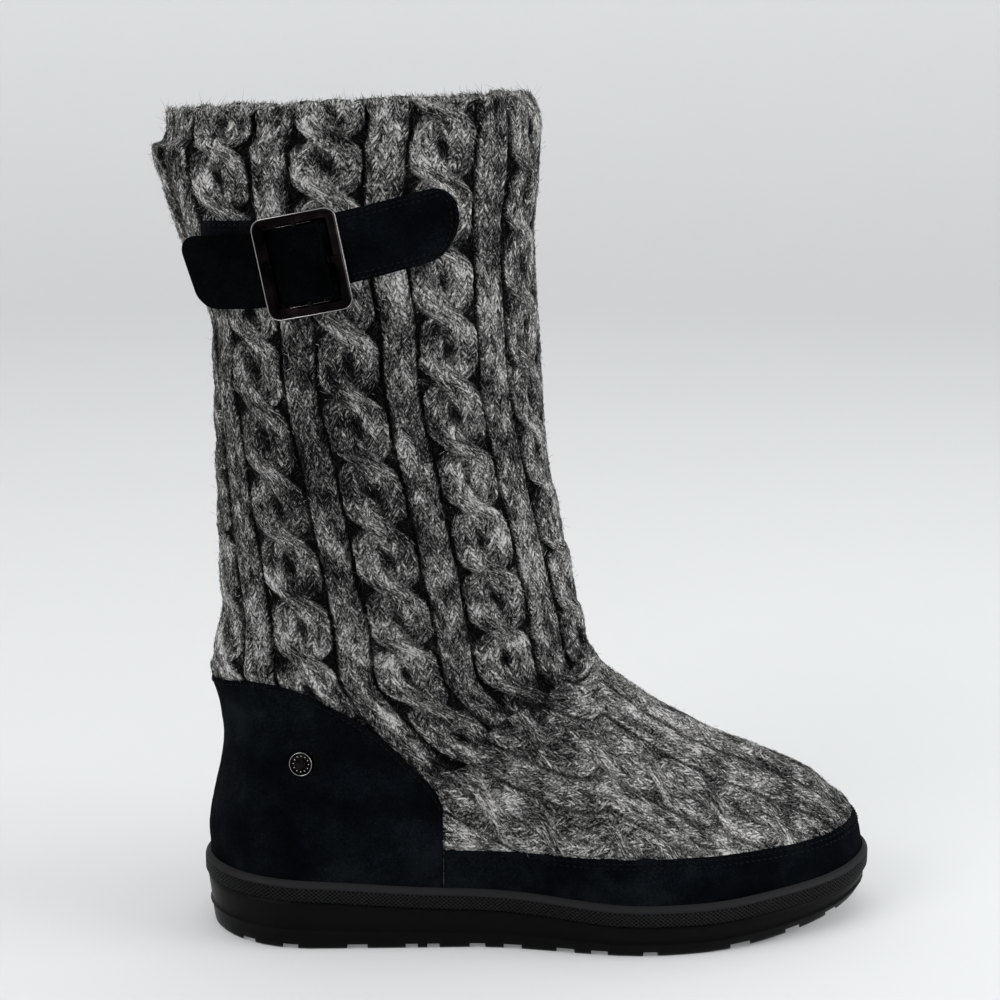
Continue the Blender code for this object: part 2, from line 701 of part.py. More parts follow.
def make_buckle_frame(look):
    """Cast frame with rounded corners, bevelled rims and a bar across its middle."""
    levels = (
        (0.0, 0.0),
        (0.0, BUCKLE_THICKNESS - BUCKLE_RIM),
        (BUCKLE_RIM, BUCKLE_THICKNESS),
        (BUCKLE_BAND - BUCKLE_RIM, BUCKLE_THICKNESS),
        (BUCKLE_BAND, BUCKLE_THICKNESS - BUCKLE_RIM),
        (BUCKLE_BAND, 0.0),
    )
    rings = []
    for inset, lift in levels:
        corner = max(BUCKLE_CORNER - inset, 0.3 * BUCKLE_CORNER)
        loop = rounded_loop(BUCKLE_LENGTH - 2.0 * inset, BUCKLE_WIDTH - 2.0 * inset, corner)
        rings.append(buckle_point(loop[:, 0], loop[:, 1], lift + 0.0 * loop[:, 0]))
    frame = add_band("buckle_frame", rings, look)
    bar = make_bar_tool(look)
    join = frame.modifiers.new("bar", "BOOLEAN")
    join.operation = "UNION"
    join.solver = "EXACT"
    join.object = bar
    return frame


def make_bar_tool(look):
    """Round bar from one long side of the frame to the other."""
    reach = 0.5 * BUCKLE_WIDTH - 0.5 * BUCKLE_BAND
    middle = 0.5 * BUCKLE_THICKNESS
    rings = []
    for up in np.linspace(-reach, reach, 5):
        angle = 2.0 * math.pi * np.arange(BAR_STEPS) / BAR_STEPS
        ahead = BAR_RADIUS * np.cos(angle)
        lift = middle + BAR_RADIUS * np.sin(angle) - frame_seat(ahead) + frame_seat(0.0)
        rings.append(buckle_point(ahead, up + 0.0 * angle, lift))
    points = np.concatenate(rings)
    faces = [tuple(range(BAR_STEPS - 1, -1, -1))]
    for index in range(len(rings) - 1):
        faces += ring_faces(BAR_STEPS * index, BAR_STEPS * (index + 1), BAR_STEPS)
    faces.append(tuple(range(BAR_STEPS * (len(rings) - 1), BAR_STEPS * len(rings))))
    tool = add_solid("bar_tool", points, faces, look)
    tool.hide_render = True
    tool.display_type = "WIRE"
    return tool


def bar_top():
    """Distance of the top of the bar from the shaft."""
    return float(frame_seat(0.0)) + 0.5 * BUCKLE_THICKNESS + BAR_RADIUS


def tip_lift(x, z):
    """Distance of the free strap's underside from the shaft: over the bar, then down behind it."""
    ahead = ((x - BUCKLE_X) * math.cos(BUCKLE_LEAN)
             + (z - STRAP_HEIGHT) * math.sin(BUCKLE_LEAN))
    over = smooth_step((ahead + 0.9 * INNER_HALF) / (0.7 * INNER_HALF))
    return ON_BASE + (bar_top() + CLEARANCE - ON_BASE) * over


def tip_point(x, z, lift):
    """Point of the free strap: on the shaft's side, then straight off it with a slight curl."""
    held = np.maximum(x, TIP_LEAVES_X)
    start = outer_side_point(held, z, lift)
    step = NUDGE * SHAFT_DEPTH
    run = (outer_side_point(held + step, z, lift) - start) / step
    beyond = (x - held)[..., None]
    curl = np.array((0.0, TIP_CURL, 0.0)) * (beyond / (TIP_HOLD + TIP_REACH)) ** 2
    return start + run * beyond + curl


def make_strap_tip(look):
    """Free end of the strap: over the bar, under the frame's back side and past the shaft."""
    lean = 0.5 * STRAP_WIDTH * math.tan(BUCKLE_LEAN)
    panel_end = square_end(BUCKLE_X + PANEL_END / math.cos(BUCKLE_LEAN), lean)
    inner, outer = strap_grid(
        TIP_LINE, cornered_end(TIP_BACK_X, TIP_SLANT, TIP_CORNER), panel_end,
        1.0, tip_lift, tip_point, 23, 9)
    return add_sheet("strap_tip", inner, outer, look)


def make_buckle_prong(look):
    """Prong from the bar forward, its end on the frame's front side."""
    start = BAR_RADIUS + CLEARANCE
    over_frame = float(frame_seat(INNER_HALF)) + BUCKLE_THICKNESS + CLEARANCE
    low = bar_top() - BAR_RADIUS - 0.5 * PRONG_THICKNESS
    path = (
        (start, low),
        (0.5 * INNER_HALF, low),
        (0.92 * INNER_HALF, low + 0.5 * (BAR_RADIUS - 0.5 * PRONG_THICKNESS)),
        (INNER_HALF - 0.7 * CLEARANCE, over_frame + 0.7 * CLEARANCE),
        (0.5 * BUCKLE_LENGTH - PRONG_SETBACK, over_frame),
    )
    half = 0.5 * PRONG_WIDTH
    rings = []
    for ahead, low_lift in path:
        seat = float(frame_seat(ahead))
        for up, lift in ((-half, 0.0), (half, 0.0), (half, PRONG_THICKNESS), (-half, PRONG_THICKNESS)):
            rings.append(buckle_point(ahead, up, low_lift - seat + lift))
    points = np.array(rings).reshape(-1, 3)
    faces = [(3, 2, 1, 0)]
    for index in range(len(path) - 1):
        faces += ring_faces(4 * index, 4 * (index + 1), 4)
    last = 4 * (len(path) - 1)
    faces.append((last, last + 1, last + 2, last + 3))
    return add_solid("buckle_prong", points, faces, look)


def make_stud(look):
    """Round stud on the counter: raised rim, hollow ring and a flat middle."""
    profile = [dict(zip(STUD_COLUMNS, row)) for row in STUD_PROFILE]
    turn = turn_at(SOLE_BACK + STUD_PLACE, STUD_LEVEL, -1.0)
    normal = surface_normal(turn, STUD_LEVEL)
    seat = offset_point(turn, STUD_LEVEL, ON_BASE + 0.04 * STUD_RADIUS)
    across = np.cross((0.0, 0.0, 1.0), normal)
    across /= np.linalg.norm(across)
    up = np.cross(normal, across)
    points = [seat]
    faces = []
    for cell in profile[1:-1]:
        for step in range(STUD_STEPS):
            angle = 2.0 * math.pi * step / STUD_STEPS
            spread = math.cos(angle) * across + math.sin(angle) * up
            points.append(seat + cell["spread"] * STUD_RADIUS * spread
                          + cell["rise"] * STUD_HEIGHT * normal)
    points.append(seat + profile[-1]["rise"] * STUD_HEIGHT * normal)
    top = len(points) - 1
    for step in range(STUD_STEPS):
        faces.append((0, 1 + (step + 1) % STUD_STEPS, 1 + step))
    for ring in range(len(profile) - 3):
        faces += ring_faces(1 + ring * STUD_STEPS, 1 + (ring + 1) * STUD_STEPS, STUD_STEPS)
    last = 1 + (len(profile) - 3) * STUD_STEPS
    for step in range(STUD_STEPS):
        faces.append((last + step, last + (step + 1) % STUD_STEPS, top))
    return add_solid("counter_stud", points, faces, look)


def main():
    """Build every piece in an empty scene."""
    for old in list(bpy.data.objects):
        bpy.data.objects.remove(old, do_unlink=True)
    knit = material("knit", (0.13, 0.13, 0.125), 0.95)
    suede = material("suede", (0.006, 0.008, 0.010), 0.95)
    rubber = material("rubber", (0.016, 0.016, 0.017), 0.55)
    band = material("band_rubber", (0.03, 0.03, 0.031), 0.60)
    fleece = material("fleece", (0.12, 0.12, 0.12), 1.0)
    metal = material("gunmetal", (0.10, 0.09, 0.09), 0.18, 1.0)
    make_outsole(rubber)
    make_foxing_band(band)
    make_insole(fleece)
    make_upper(knit)
    make_heel_counter(suede)
    make_toe_rand(suede)
    make_strap_base(suede)
    make_buckle_frame(metal)
    make_strap_tip(suede)
    make_buckle_prong(metal)
    make_stud(metal)


main()
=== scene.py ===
"""Looks of the winter boot: knit with its cables and fuzz, suede, metal and rubber."""

import math

import bpy
import numpy as np
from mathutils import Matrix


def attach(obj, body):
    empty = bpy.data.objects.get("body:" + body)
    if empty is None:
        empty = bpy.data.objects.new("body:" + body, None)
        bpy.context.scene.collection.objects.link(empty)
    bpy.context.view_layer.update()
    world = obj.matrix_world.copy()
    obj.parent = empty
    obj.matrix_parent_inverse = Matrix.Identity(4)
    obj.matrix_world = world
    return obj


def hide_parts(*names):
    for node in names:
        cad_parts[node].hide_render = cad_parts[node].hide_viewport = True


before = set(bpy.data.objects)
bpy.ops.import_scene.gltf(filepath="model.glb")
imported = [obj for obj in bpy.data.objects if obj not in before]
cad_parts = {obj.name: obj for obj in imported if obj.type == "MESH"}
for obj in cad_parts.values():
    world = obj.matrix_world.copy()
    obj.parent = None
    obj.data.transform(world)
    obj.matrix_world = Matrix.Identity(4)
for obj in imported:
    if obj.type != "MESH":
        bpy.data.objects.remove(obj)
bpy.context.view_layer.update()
rng = np.random.default_rng(7)

# Driving sizes of the boot, in metres, as in the frame
SOLE_LENGTH = 0.276
BALL_WIDTH = 0.102
BOOT_HEIGHT = 0.3355
COLLAR_RISE = 0.0065
INSTEP_HEIGHT = 0.084
SHAFT_DEPTH = 0.140
SHAFT_WIDTH = 0.097
HEEL_STACK = 0.031
BALL_STACK = 0.0222
TOE_STACK = 0.0172
TOE_SPRING = 0.0104
TOE_SWING, SWING_START = 0.006, 0.6
HEEL_SEAT = 0.048
SHAFT_MIDDLE = 0.070
CLEARANCE = 0.0003
KNIT_WALL = 0.0032
SUEDE = 0.0014
LEDGE = 0.0022
KNURL_HEIGHT = 0.006
FOOTBED = 0.004
COUNTER_HEIGHT = 0.081
RAND_HEIGHT = 0.016
SEAM_PLACE = 0.0976
OVERLAY_TUCK = 0.003
STRAP_WIDTH = 0.028
STRAP_DROP = 0.0613
STRAP_BASE_LENGTH = 0.095
STRAP_FRONT = 0.1003
BUCKLE_PLACE = 0.0441
BUCKLE_LENGTH = 0.030
BUCKLE_WIDTH = 0.038
BUCKLE_BAND = 0.0044
BUCKLE_THICKNESS = 0.0024
BUCKLE_LEAN = math.radians(11.0)
BUCKLE_CORNER = 0.0042
BAR_RADIUS = 0.001
TIP_REACH = 0.004
TIP_HOLD = 0.013
TIP_SLANT = 0.004
TIP_CORNER = 0.007
TIP_CURL = 0.0015
BASE_WIDTH_SHARE = 0.965
BASE_ROUND_SHARE = 0.4
STUD_RADIUS = 0.0051
STUD_HEIGHT = 0.0026
STUD_PLACE = 0.043
STUD_LEVEL = 0.0488

# Worked out from the driving sizes
SUEDE_LOW = CLEARANCE
SUEDE_TOP = SUEDE_LOW + SUEDE
BAND_INNER = SUEDE_TOP + CLEARANCE
SOLE_MARGIN = BAND_INNER + LEDGE
BAND_DROP = LEDGE + KNURL_HEIGHT
LAST_LENGTH = SOLE_LENGTH - 2.0 * SOLE_MARGIN
LAST_BACK = SOLE_MARGIN - HEEL_SEAT
SOLE_BACK = -HEEL_SEAT
SEAM_X = SOLE_BACK + SEAM_PLACE
FEATHER_LEVEL = 0.5 * (HEEL_STACK + BALL_STACK)
SHAFT_HEIGHT = BOOT_HEIGHT - FEATHER_LEVEL - INSTEP_HEIGHT
COLLAR = BOOT_HEIGHT - FEATHER_LEVEL
COLLAR_BEND = INSTEP_HEIGHT + 0.8 * SHAFT_HEIGHT
SHAFT_BACK = LAST_BACK + SHAFT_MIDDLE - 0.5 * SHAFT_DEPTH
STRAP_HEIGHT = BOOT_HEIGHT - STRAP_DROP
STRAP_FRONT_X = SHAFT_BACK + STRAP_FRONT
STRAP_BACK_X = STRAP_FRONT_X - STRAP_BASE_LENGTH
TIP_BACK_X = STRAP_BACK_X - TIP_REACH
TIP_LEAVES_X = STRAP_BACK_X + TIP_HOLD
BUCKLE_X = SHAFT_BACK + BUCKLE_PLACE
INNER_HALF = 0.5 * BUCKLE_LENGTH - BUCKLE_BAND
PANEL_END = 0.8 * INNER_HALF
ON_BASE = SUEDE_TOP + CLEARANCE
ON_TIP = ON_BASE + SUEDE + CLEARANCE
NUDGE = 0.002

# Sections of the foot and the shaft, the sole's thickness, and the overlays' edges, as shares
FOOT_COLUMNS = ("rise", "back", "front", "heel_out", "heel_in", "waist_out", "waist_in",
                "ball_out", "ball_in", "toe_out", "toe_in", "heel_round", "toe_round")
SIDE_COLUMNS = FOOT_COLUMNS[3:11]
FOOT_SECTIONS = (
    (0.00, 0.000, 1.000, 0.350, 0.340, 0.358, 0.300, 0.474, 0.444, 0.417, 0.431, 0.16, 0.26),
    (0.12, -0.002, 0.9925, 0.364, 0.354, 0.372, 0.318, 0.488, 0.460, 0.425, 0.440, 0.17, 0.28),
    (0.24, 0.003, 0.969, 0.358, 0.348, 0.370, 0.325, 0.484, 0.460, 0.400, 0.415, 0.18, 0.33),
    (0.36, 0.011, 0.936, 0.348, 0.340, 0.362, 0.330, 0.458, 0.446, 0.350, 0.365, 0.19, 0.43),
    (0.48, 0.019, 0.872, 0.340, 0.332, 0.352, 0.328, 0.418, 0.412, 0.310, 0.320, 0.21, 0.50),
    (0.62, 0.024, 0.769, 0.335, 0.330, 0.345, 0.330, 0.383, 0.380, 0.300, 0.305, 0.26, 0.54),
    (0.79, 0.019, 0.670, 0.335, 0.332, 0.350, 0.345, 0.368, 0.366, 0.320, 0.320, 0.34, 0.54),
    (1.00, 0.004, 0.587, 0.345, 0.345, 0.366, 0.366, 0.366, 0.366, 0.345, 0.345, 0.43, 0.50),
)
STATIONS = (0.12, 0.38, 0.66, 0.90)
HEM_BELOW, HEM_ABOVE = 0.93, 0.942
# Rise, middle, depth and width
SHAFT_SECTIONS = (
    (0.11, 0.051, 1.031, 0.814),
    (0.22, 0.031, 0.996, 0.861),
    (0.40, 0.002, 0.939, 0.918),
    (0.58, -0.007, 0.918, 0.959),
    (0.76, -0.056, 0.985, 0.990),
    (0.85, -0.073, 1.043, 1.003),
    (HEM_BELOW, -0.080, 1.068, 1.010),
    (HEM_ABOVE, -0.070, 1.029, 0.974),
    (1.00, -0.069, 1.007, 0.964),
)
# Place along the sole, then the parts of the heel's, the ball's and the toe's thickness
STACK_TABLE = (
    (0.00, 1.00, 0.00, 0.00),
    (0.15, 0.86, 0.14, 0.00),
    (0.32, 0.52, 0.48, 0.00),
    (0.46, 0.34, 0.66, 0.00),
    (0.62, 0.00, 1.00, 0.00),
    (0.80, 0.00, 0.92, 0.08),
    (1.00, 0.00, 0.00, 1.00),
)
SPRING_START = 0.70
COUNTER_EDGE = ((0.00, 0.965), (0.18, 1.0), (0.34, 0.985), (0.55, 0.877), (0.73, 0.74),
                (0.84, 0.617), (0.955, 0.494), (1.00, 0.41))
RAND_EDGE = ((0.00, 0.88), (0.07, 0.89), (0.20, 0.94), (0.335, 1.05), (0.53, 1.17), (0.67, 1.12),
             (0.80, 1.05), (1.00, 0.97))
BASE_LINE = ((-0.40, 0.03), (0.00, 0.10), (0.20, 0.24), (0.40, 0.41), (0.60, 0.58))
TIP_LINE = ((-0.55, -0.20), (-0.22, -0.13), (0.00, 0.01), (0.16, 0.115))

# The knit. Distances in metres; a column is one rib with the cable beside it.
COLUMNS = 9
GUTTER_LINE = ((0.050, 0.2975), (0.092, 0.2888), (0.129, 0.2808), (0.164, 0.2726),
               (0.208, 0.2560), (0.250, 0.2600), (0.284, 0.2680), (0.309, 0.2700))
RIB_START, RIB_END = 0.014, 0.348
CABLE_START, CABLE_END = 0.378, 0.988
CABLE_PITCH = 0.0249
EYE_LEVEL, EYE_STEP = 0.1597, 0.005
STITCH_ROW = 0.0029
STITCH_CLIMB = 1.55
STITCH_RELIEF = 0.00045
RIB_WALES, STRAND_WALES = 3.0, 2.5
STRAND_SLOPE = 0.68
STRAND_HALF, STRAND_SWING = 0.56, 0.50
STRAND_ROUND, FRONT_ROUND, FRONT_RISE, STRAND_SINK = 0.80, 0.20, 0.30, 0.35
LEG_SLOPE = 0.42
CROSSING = 1.7
CABLE_FLOOR, CABLE_RANGE = 0.85, 1.60
CABLE_POWER, RIB_POWER = 0.65, 0.5
GUTTER_DEPTH = 0.0023
EYE_DEPTH, EYE_ACROSS, EYE_ALONG = 0.0017, 0.20, 0.45
RIB_DROP = 0.0004
SEAM_DITCH, SEAM_REACH = 0.0010, 0.006
HEM_FILL, FILL_START, FILL_REACH = 0.0017, 0.04, 0.06
EDGE_SWELL, SWELL_RISE, SWELL_REACH = 0.0021, 0.003, 0.005
RIM = 0.0025
COLLAR_START = 0.0064
COLLAR_ROUND = 0.011
CORNER_DROP, CORNER_START, CORNER_REACH = 0.0030, 0.33, 0.15
HEM_DOWN = 0.020
VAMP_PERIOD = 0.038
VAMP_PHASE = 0.0128
VAMP_EYE, VAMP_EYE_STEP = 0.123, 0.006
VAMP_RELIEF = 0.44
VAMP_BEND = 0.074
VAMP_TOP = 0.92
PAST_RISE = 0.55
SEAM_LINE = ((0.000, 0.074), (0.100, 0.074), (0.180, 0.060), (0.215, 0.046), (0.235, 0.048),
             (0.270, 0.060), (0.305, 0.068), (0.345, 0.073), (0.420, 0.084), (0.462, 0.091),
             (0.500, 0.090))
ARC_TURNS, ARC_HEIGHTS = 481, 63
RIDGE_STATIONS, RIDGE_STEPS = 70, 80
RIDGE_START, RIDGE_END = 0.050, LAST_BACK + LAST_LENGTH - 0.001

# Fibres: rings of three points at shares of the length and width, and ranges of their sizes
HAIR_RINGS = ((0.32, 1.0), (0.70, 0.8))
SLIVER_RINGS = ((0.45, 1.0),)
FIBRE_CORNERS = (0.0, 2.094, 4.189)
SLIVER_LENGTH, SLIVER_WIDTH, SLIVER_RISE = (0.0013, 0.0034), (0.00014, 0.00028), (0.0, 0.16)
HAIR_LENGTH, HAIR_WIDTH, HAIR_RISE = (0.0014, 0.0046), (0.00008, 0.00013), (0.3, 1.2)
HAIR_BEND = (-0.8, 0.0)
SLIVER_SPREAD, FIBRE_LIFT = 0.34, 0.0001
GLINT_SHARE = 0.06
# Middle and reach of a darker patch painted on the knit as shade over the middle of the shaft
SHADED_PLACE, SHADED_REACH = (0.002, -0.045, 0.205), 0.080

# Suede edges, stitches, band, metal
EDGE_ROUND, EDGE_WAVE = 0.0009, 0.00012
THREAD = 0.0005
SEWN_HALF = 0.36
OVERLAY_PITCH, STRAP_PITCH = 0.0026, 0.0024
RAND_ROWS, COUNTER_ROWS, STRAP_ROWS = (0.0016, 0.0034), (0.0017,), (0.0014, 0.0032)
SEWN_GAP = 0.001
KNURL_PITCH = 0.0018
BAND_COLUMNS = 700
RIM_WIRE, STUD_WIRE = 0.00022, 0.000154
# Inset from the frame's outer edge, drop from its face, and thickness of each rim's wire, drawn bright
# as a painted highlight
RIMS = ((0.00032, 0.00066, RIM_WIRE), (BUCKLE_BAND - 0.0002, 0.00094, 0.22 * RIM_WIRE))
BEADS, BEAD_RADIUS = 12, 0.00040
# Shares of the stud's radius and height
STUD_SEAT, BEAD_PLACE, WIRE_PLACE = 0.04, (0.61, 0.66), (0.88, 0.95)
HEXAGON = np.arange(6) * math.pi / 3.0

# Lining and footbed
LINING_DEPTH, LINING_TOP, LINING_LOW = 0.0049, 0.017, 0.004
PILE_WAVE = 0.0005
FOOTBED_CROWN = 0.0012

# Floor and wall, far round the boot
FLOOR_RADIUS = 2.2
WALL_BEND = 1.2
WALL_HEIGHT = 3.0
FLOOR_STEPS = 96


class Curve:
    """Smooth curve through a table of places and values, with no overshoot between them."""

    def __init__(self, table, scale=1.0):
        self.places, values = np.array(table, float).T
        self.values = values * scale
        step = np.diff(self.places)
        slope = np.diff(self.values) / step
        before, after = slope[:-1], slope[1:]
        first, second = 2.0 * step[1:] + step[:-1], step[1:] + 2.0 * step[:-1]
        same = before * after > 0.0
        mean = (first + second) / (first / np.where(same, before, 1.0)
                                   + second / np.where(same, after, 1.0))
        self.slopes = np.concatenate([slope[:1], np.where(same, mean, 0.0), slope[-1:]])

    def __call__(self, place):
        place = np.clip(place, self.places[0], self.places[-1])
        last = len(self.places) - 2
        index = np.clip(np.searchsorted(self.places, place, side="right") - 1, 0, last)
        width = self.places[index + 1] - self.places[index]
        t = (place - self.places[index]) / width
        start, end = self.values[index], self.values[index + 1]
        leave = t * (1.0 - t) * (1.0 - t) * width * self.slopes[index]
        arrive = t * t * (t - 1.0) * width * self.slopes[index + 1]
        return start + (end - start) * (3.0 * t * t - 2.0 * t * t * t) + leave + arrive


def smooth_step(value):
    """Ease from 0 to 1."""
    t = np.clip(value, 0.0, 1.0)
    return t * t * (3.0 - 2.0 * t)


def arch(place):
    """Height of a round arch over places from -1 to 1."""
    return np.sqrt(np.clip(1.0 - place ** 2, 0.0, 1.0))


def unit(vectors):
    """Vectors scaled to a length of one."""
    return vectors / np.linalg.norm(vectors, axis=-1, keepdims=True)


def running_length(points):
    """Distance covered along rows of points, from 0 at the first point of each row."""
    steps = np.linalg.norm(np.diff(points, axis=-2), axis=-1)
    return np.concatenate([0.0 * steps[..., :1], np.cumsum(steps, axis=-1)], axis=-1)


def sample(values, run, places):
    """Rows of values read at places along their run."""
    return np.stack([np.interp(places, run, column) for column in values.T], axis=-1)


def bilinear(table, row, column):
    """Value of a table between its cells; row and column are places in cells."""
    row = np.clip(row, 0.0, table.shape[0] - 1.001)
    column = np.clip(column, 0.0, table.shape[1] - 1.001)
    r, c = row.astype(int), column.astype(int)
    fr, fc = row - r, column - c
    low = table[r, c] * (1.0 - fc) + table[r, c + 1] * fc
    high = table[r + 1, c] * (1.0 - fc) + table[r + 1, c + 1] * fc
    return low * (1.0 - fr) + high * fr


def wobble(u, v, seed):
    """Slow, smooth unevenness between -1 and 1 over two coordinates."""
    total = 0.0
    for index in range(4):
        a, b, c = np.random.default_rng(seed * 10 + index).uniform(0.6, 1.9, 3)
        total = total + np.sin(a * u * (index + 1) + c * 5.0 + 1.7 * np.sin(b * v + index)) / 4.0
    return total


def cell_noise(a, b, seed):
    """Random value from 0 to 1 for each pair of whole numbers."""
    mixed = np.sin(a * 12.9898 + b * 78.233 + seed * 37.719) * 43758.5453
    return mixed - np.floor(mixed)


def section_curves():
    """Each column of the foot and shaft sections as a curve over the height, in metres."""
    rows = []
    for row in FOOT_SECTIONS:
        entry = dict(zip(FOOT_COLUMNS, row))
        margin = SOLE_MARGIN * smooth_step(1.0 - entry["rise"])
        for name in SIDE_COLUMNS:
            entry[name] *= BALL_WIDTH + 2.0 * (margin - SOLE_MARGIN)
        for name in ("back", "front"):
            entry[name] = LAST_BACK + entry[name] * LAST_LENGTH
        rows.append((entry["rise"] * INSTEP_HEIGHT, entry))
    for rise, middle, depth, width in SHAFT_SECTIONS:
        middle = LAST_BACK + SHAFT_MIDDLE + middle * SHAFT_DEPTH
        entry = dict.fromkeys(SIDE_COLUMNS, 0.5 * width * SHAFT_WIDTH)
        entry.update(back=middle - 0.5 * depth * SHAFT_DEPTH,
                     front=middle + 0.5 * depth * SHAFT_DEPTH, heel_round=0.5, toe_round=0.5)
        rows.append((INSTEP_HEIGHT + rise * SHAFT_HEIGHT, entry))
    return {name: Curve([(height, entry[name]) for height, entry in rows])
            for name in FOOT_COLUMNS[1:]}


SECTIONS = section_curves()
STACK = Curve([(place, heel * HEEL_STACK + ball * BALL_STACK + toe * TOE_STACK)
               for place, heel, ball, toe in STACK_TABLE])
COUNTER_TOP, RAND_TOP = Curve(COUNTER_EDGE, COUNTER_HEIGHT), Curve(RAND_EDGE, RAND_HEIGHT)
BASE_MIDDLE, TIP_MIDDLE = Curve(BASE_LINE), Curve(TIP_LINE)
GUTTER, SEAM = Curve(GUTTER_LINE), Curve(SEAM_LINE)


def feather_level(x):
    """Height of the line where the upper meets the sole, which rises with the toe spring."""
    share = (x - SOLE_BACK) / SOLE_LENGTH
    lift = np.clip((np.clip(share, 0.0, 1.0) - SPRING_START) / (1.0 - SPRING_START), 0.0, 1.0)
    return TOE_SPRING * lift * lift + STACK(share)


def end_round(share, reach):
    """Round end of a section: a quarter ellipse that takes reach of its length."""
    t = np.clip(share / reach, 0.0, 1.0)
    return np.sqrt(t * (2.0 - t))


def half_width(along, height, side):
    """Half width of the section at a share of its length, on the outer or the inner side."""
    widths = [np.where(side < 0.0, SECTIONS[name + "_out"](height), SECTIONS[name + "_in"](height))
              for name in ("heel", "waist", "ball", "toe")]
    width = widths[0]
    for start, end, before, after in zip(STATIONS, STATIONS[1:], widths, widths[1:]):
        width = width + (after - before) * smooth_step((along - start) / (end - start))
    round_back = end_round(along, SECTIONS["heel_round"](height))
    return width * round_back * end_round(1.0 - along, SECTIONS["toe_round"](height))


def section_ends(height):
    """Back and front of the section at a height."""
    level = np.maximum(height, 0.0)
    return SECTIONS["back"](level), SECTIONS["front"](level)


def surface_point(turn, height):
    """Point on the upper's outer face.

    Turn runs from 0 at the heel along the outer side to 0.5 at the toe, and back along the inner
    side to 1. Height is measured from the feather line.
    """
    turn, height = np.broadcast_arrays(np.asarray(turn, float), np.asarray(height, float))
    angle = 2.0 * math.pi * turn
    along = 0.5 * (1.0 - np.cos(angle))
    side = np.where(np.sin(angle) >= 0.0, -1.0, 1.0)
    level = np.maximum(height, 0.0)
    back, front = section_ends(level)
    x = back + (front - back) * along
    y = side * half_width(along, level, side)
    share = np.clip((x - LAST_BACK) / LAST_LENGTH, 0.0, 1.0)
    y = y + TOE_SWING * np.clip((share - SWING_START) / (1.0 - SWING_START), 0.0, 1.0) ** 1.5
    fade = 1.0 - smooth_step(level / INSTEP_HEIGHT)
    z = FEATHER_LEVEL + height + (feather_level(x) - FEATHER_LEVEL) * fade
    z = z - COLLAR_RISE * (1.0 - along) * smooth_step((level - COLLAR_BEND) / (COLLAR - COLLAR_BEND))
    return np.stack([x, y, z], axis=-1)


def surface_frame(turn, height):
    """Directions on the upper's outer face: along the turn, up the height, and outwards."""
    rise = NUDGE * COLLAR
    across = surface_point(turn + NUDGE, height) - surface_point(turn - NUDGE, height)
    up = surface_point(turn, height + rise) - surface_point(turn, height - rise)
    return unit(across), unit(up), unit(np.cross(across, up))


def surface_normal(turn, height):
    """Outward direction of the upper's outer face."""
    return surface_frame(turn, height)[2]


def offset_point(turn, height, distance):
    """Point at a distance outside the upper's outer face."""
    turn, height = np.broadcast_arrays(np.asarray(turn, float), np.asarray(height, float))
    distance = np.asarray(distance, float)[..., None]
    return surface_point(turn, height) + surface_normal(turn, height) * distance


def turn_at(x, height, side):
    """Turn of the point at x on the outer side (side -1) or the inner side (side 1)."""
    back, front = section_ends(height)
    along = np.clip((x - back) / (front - back), 0.0, 1.0)
    turn = np.arccos(1.0 - 2.0 * along) / (2.0 * math.pi)
    return np.where(np.asarray(side) < 0.0, turn, 1.0 - turn)


def outer_side_point(x, z, distance):
    """Point on the outer side of the shaft at x and z."""
    height = np.asarray(z, float) - FEATHER_LEVEL
    return offset_point(turn_at(x, height, -1.0), height, distance)


def outer_side_normal(x, z):
    """Outward direction of the outer side of the shaft at x and z."""
    return surface_normal(turn_at(x, z - FEATHER_LEVEL, -1.0), z - FEATHER_LEVEL)


def front_height(x):
    """Height at which the front of the upper passes over x, carried on past the instep."""
    heights = np.linspace(0.0, INSTEP_HEIGHT, 200)
    fronts = SECTIONS["front"](heights)
    inside = np.interp(x, fronts[::-1], heights[::-1])
    return inside + PAST_RISE * np.clip(fronts[-1] - x, 0.0, 1.0)


def ridge_table(side):
    """Distance over the vamp from its ridge, at stations along the foot and steps down a side."""
    stations = np.linspace(RIDGE_START, RIDGE_END, RIDGE_STATIONS)[:, None]
    share = np.linspace(0.0, 1.0, RIDGE_STEPS)[None, :]
    height = front_height(stations) * np.cos(0.5 * math.pi * share)
    return running_length(surface_point(turn_at(stations, height, side), height))


# Distance round the boot from the heel, at each turn and for heights up to the collar
GIRTH = running_length(surface_point(np.linspace(0.0, 1.0, ARC_TURNS)[None, :],
                                     np.linspace(0.0, COLLAR, ARC_HEIGHTS)[:, None]))
RIDGE = ridge_table(-1.0), ridge_table(1.0)


def girth_at(table, turn, height):
    """Value of a table over the turns and heights of the boot."""
    return bilinear(table, height / COLLAR * (ARC_HEIGHTS - 1), turn * (ARC_TURNS - 1))


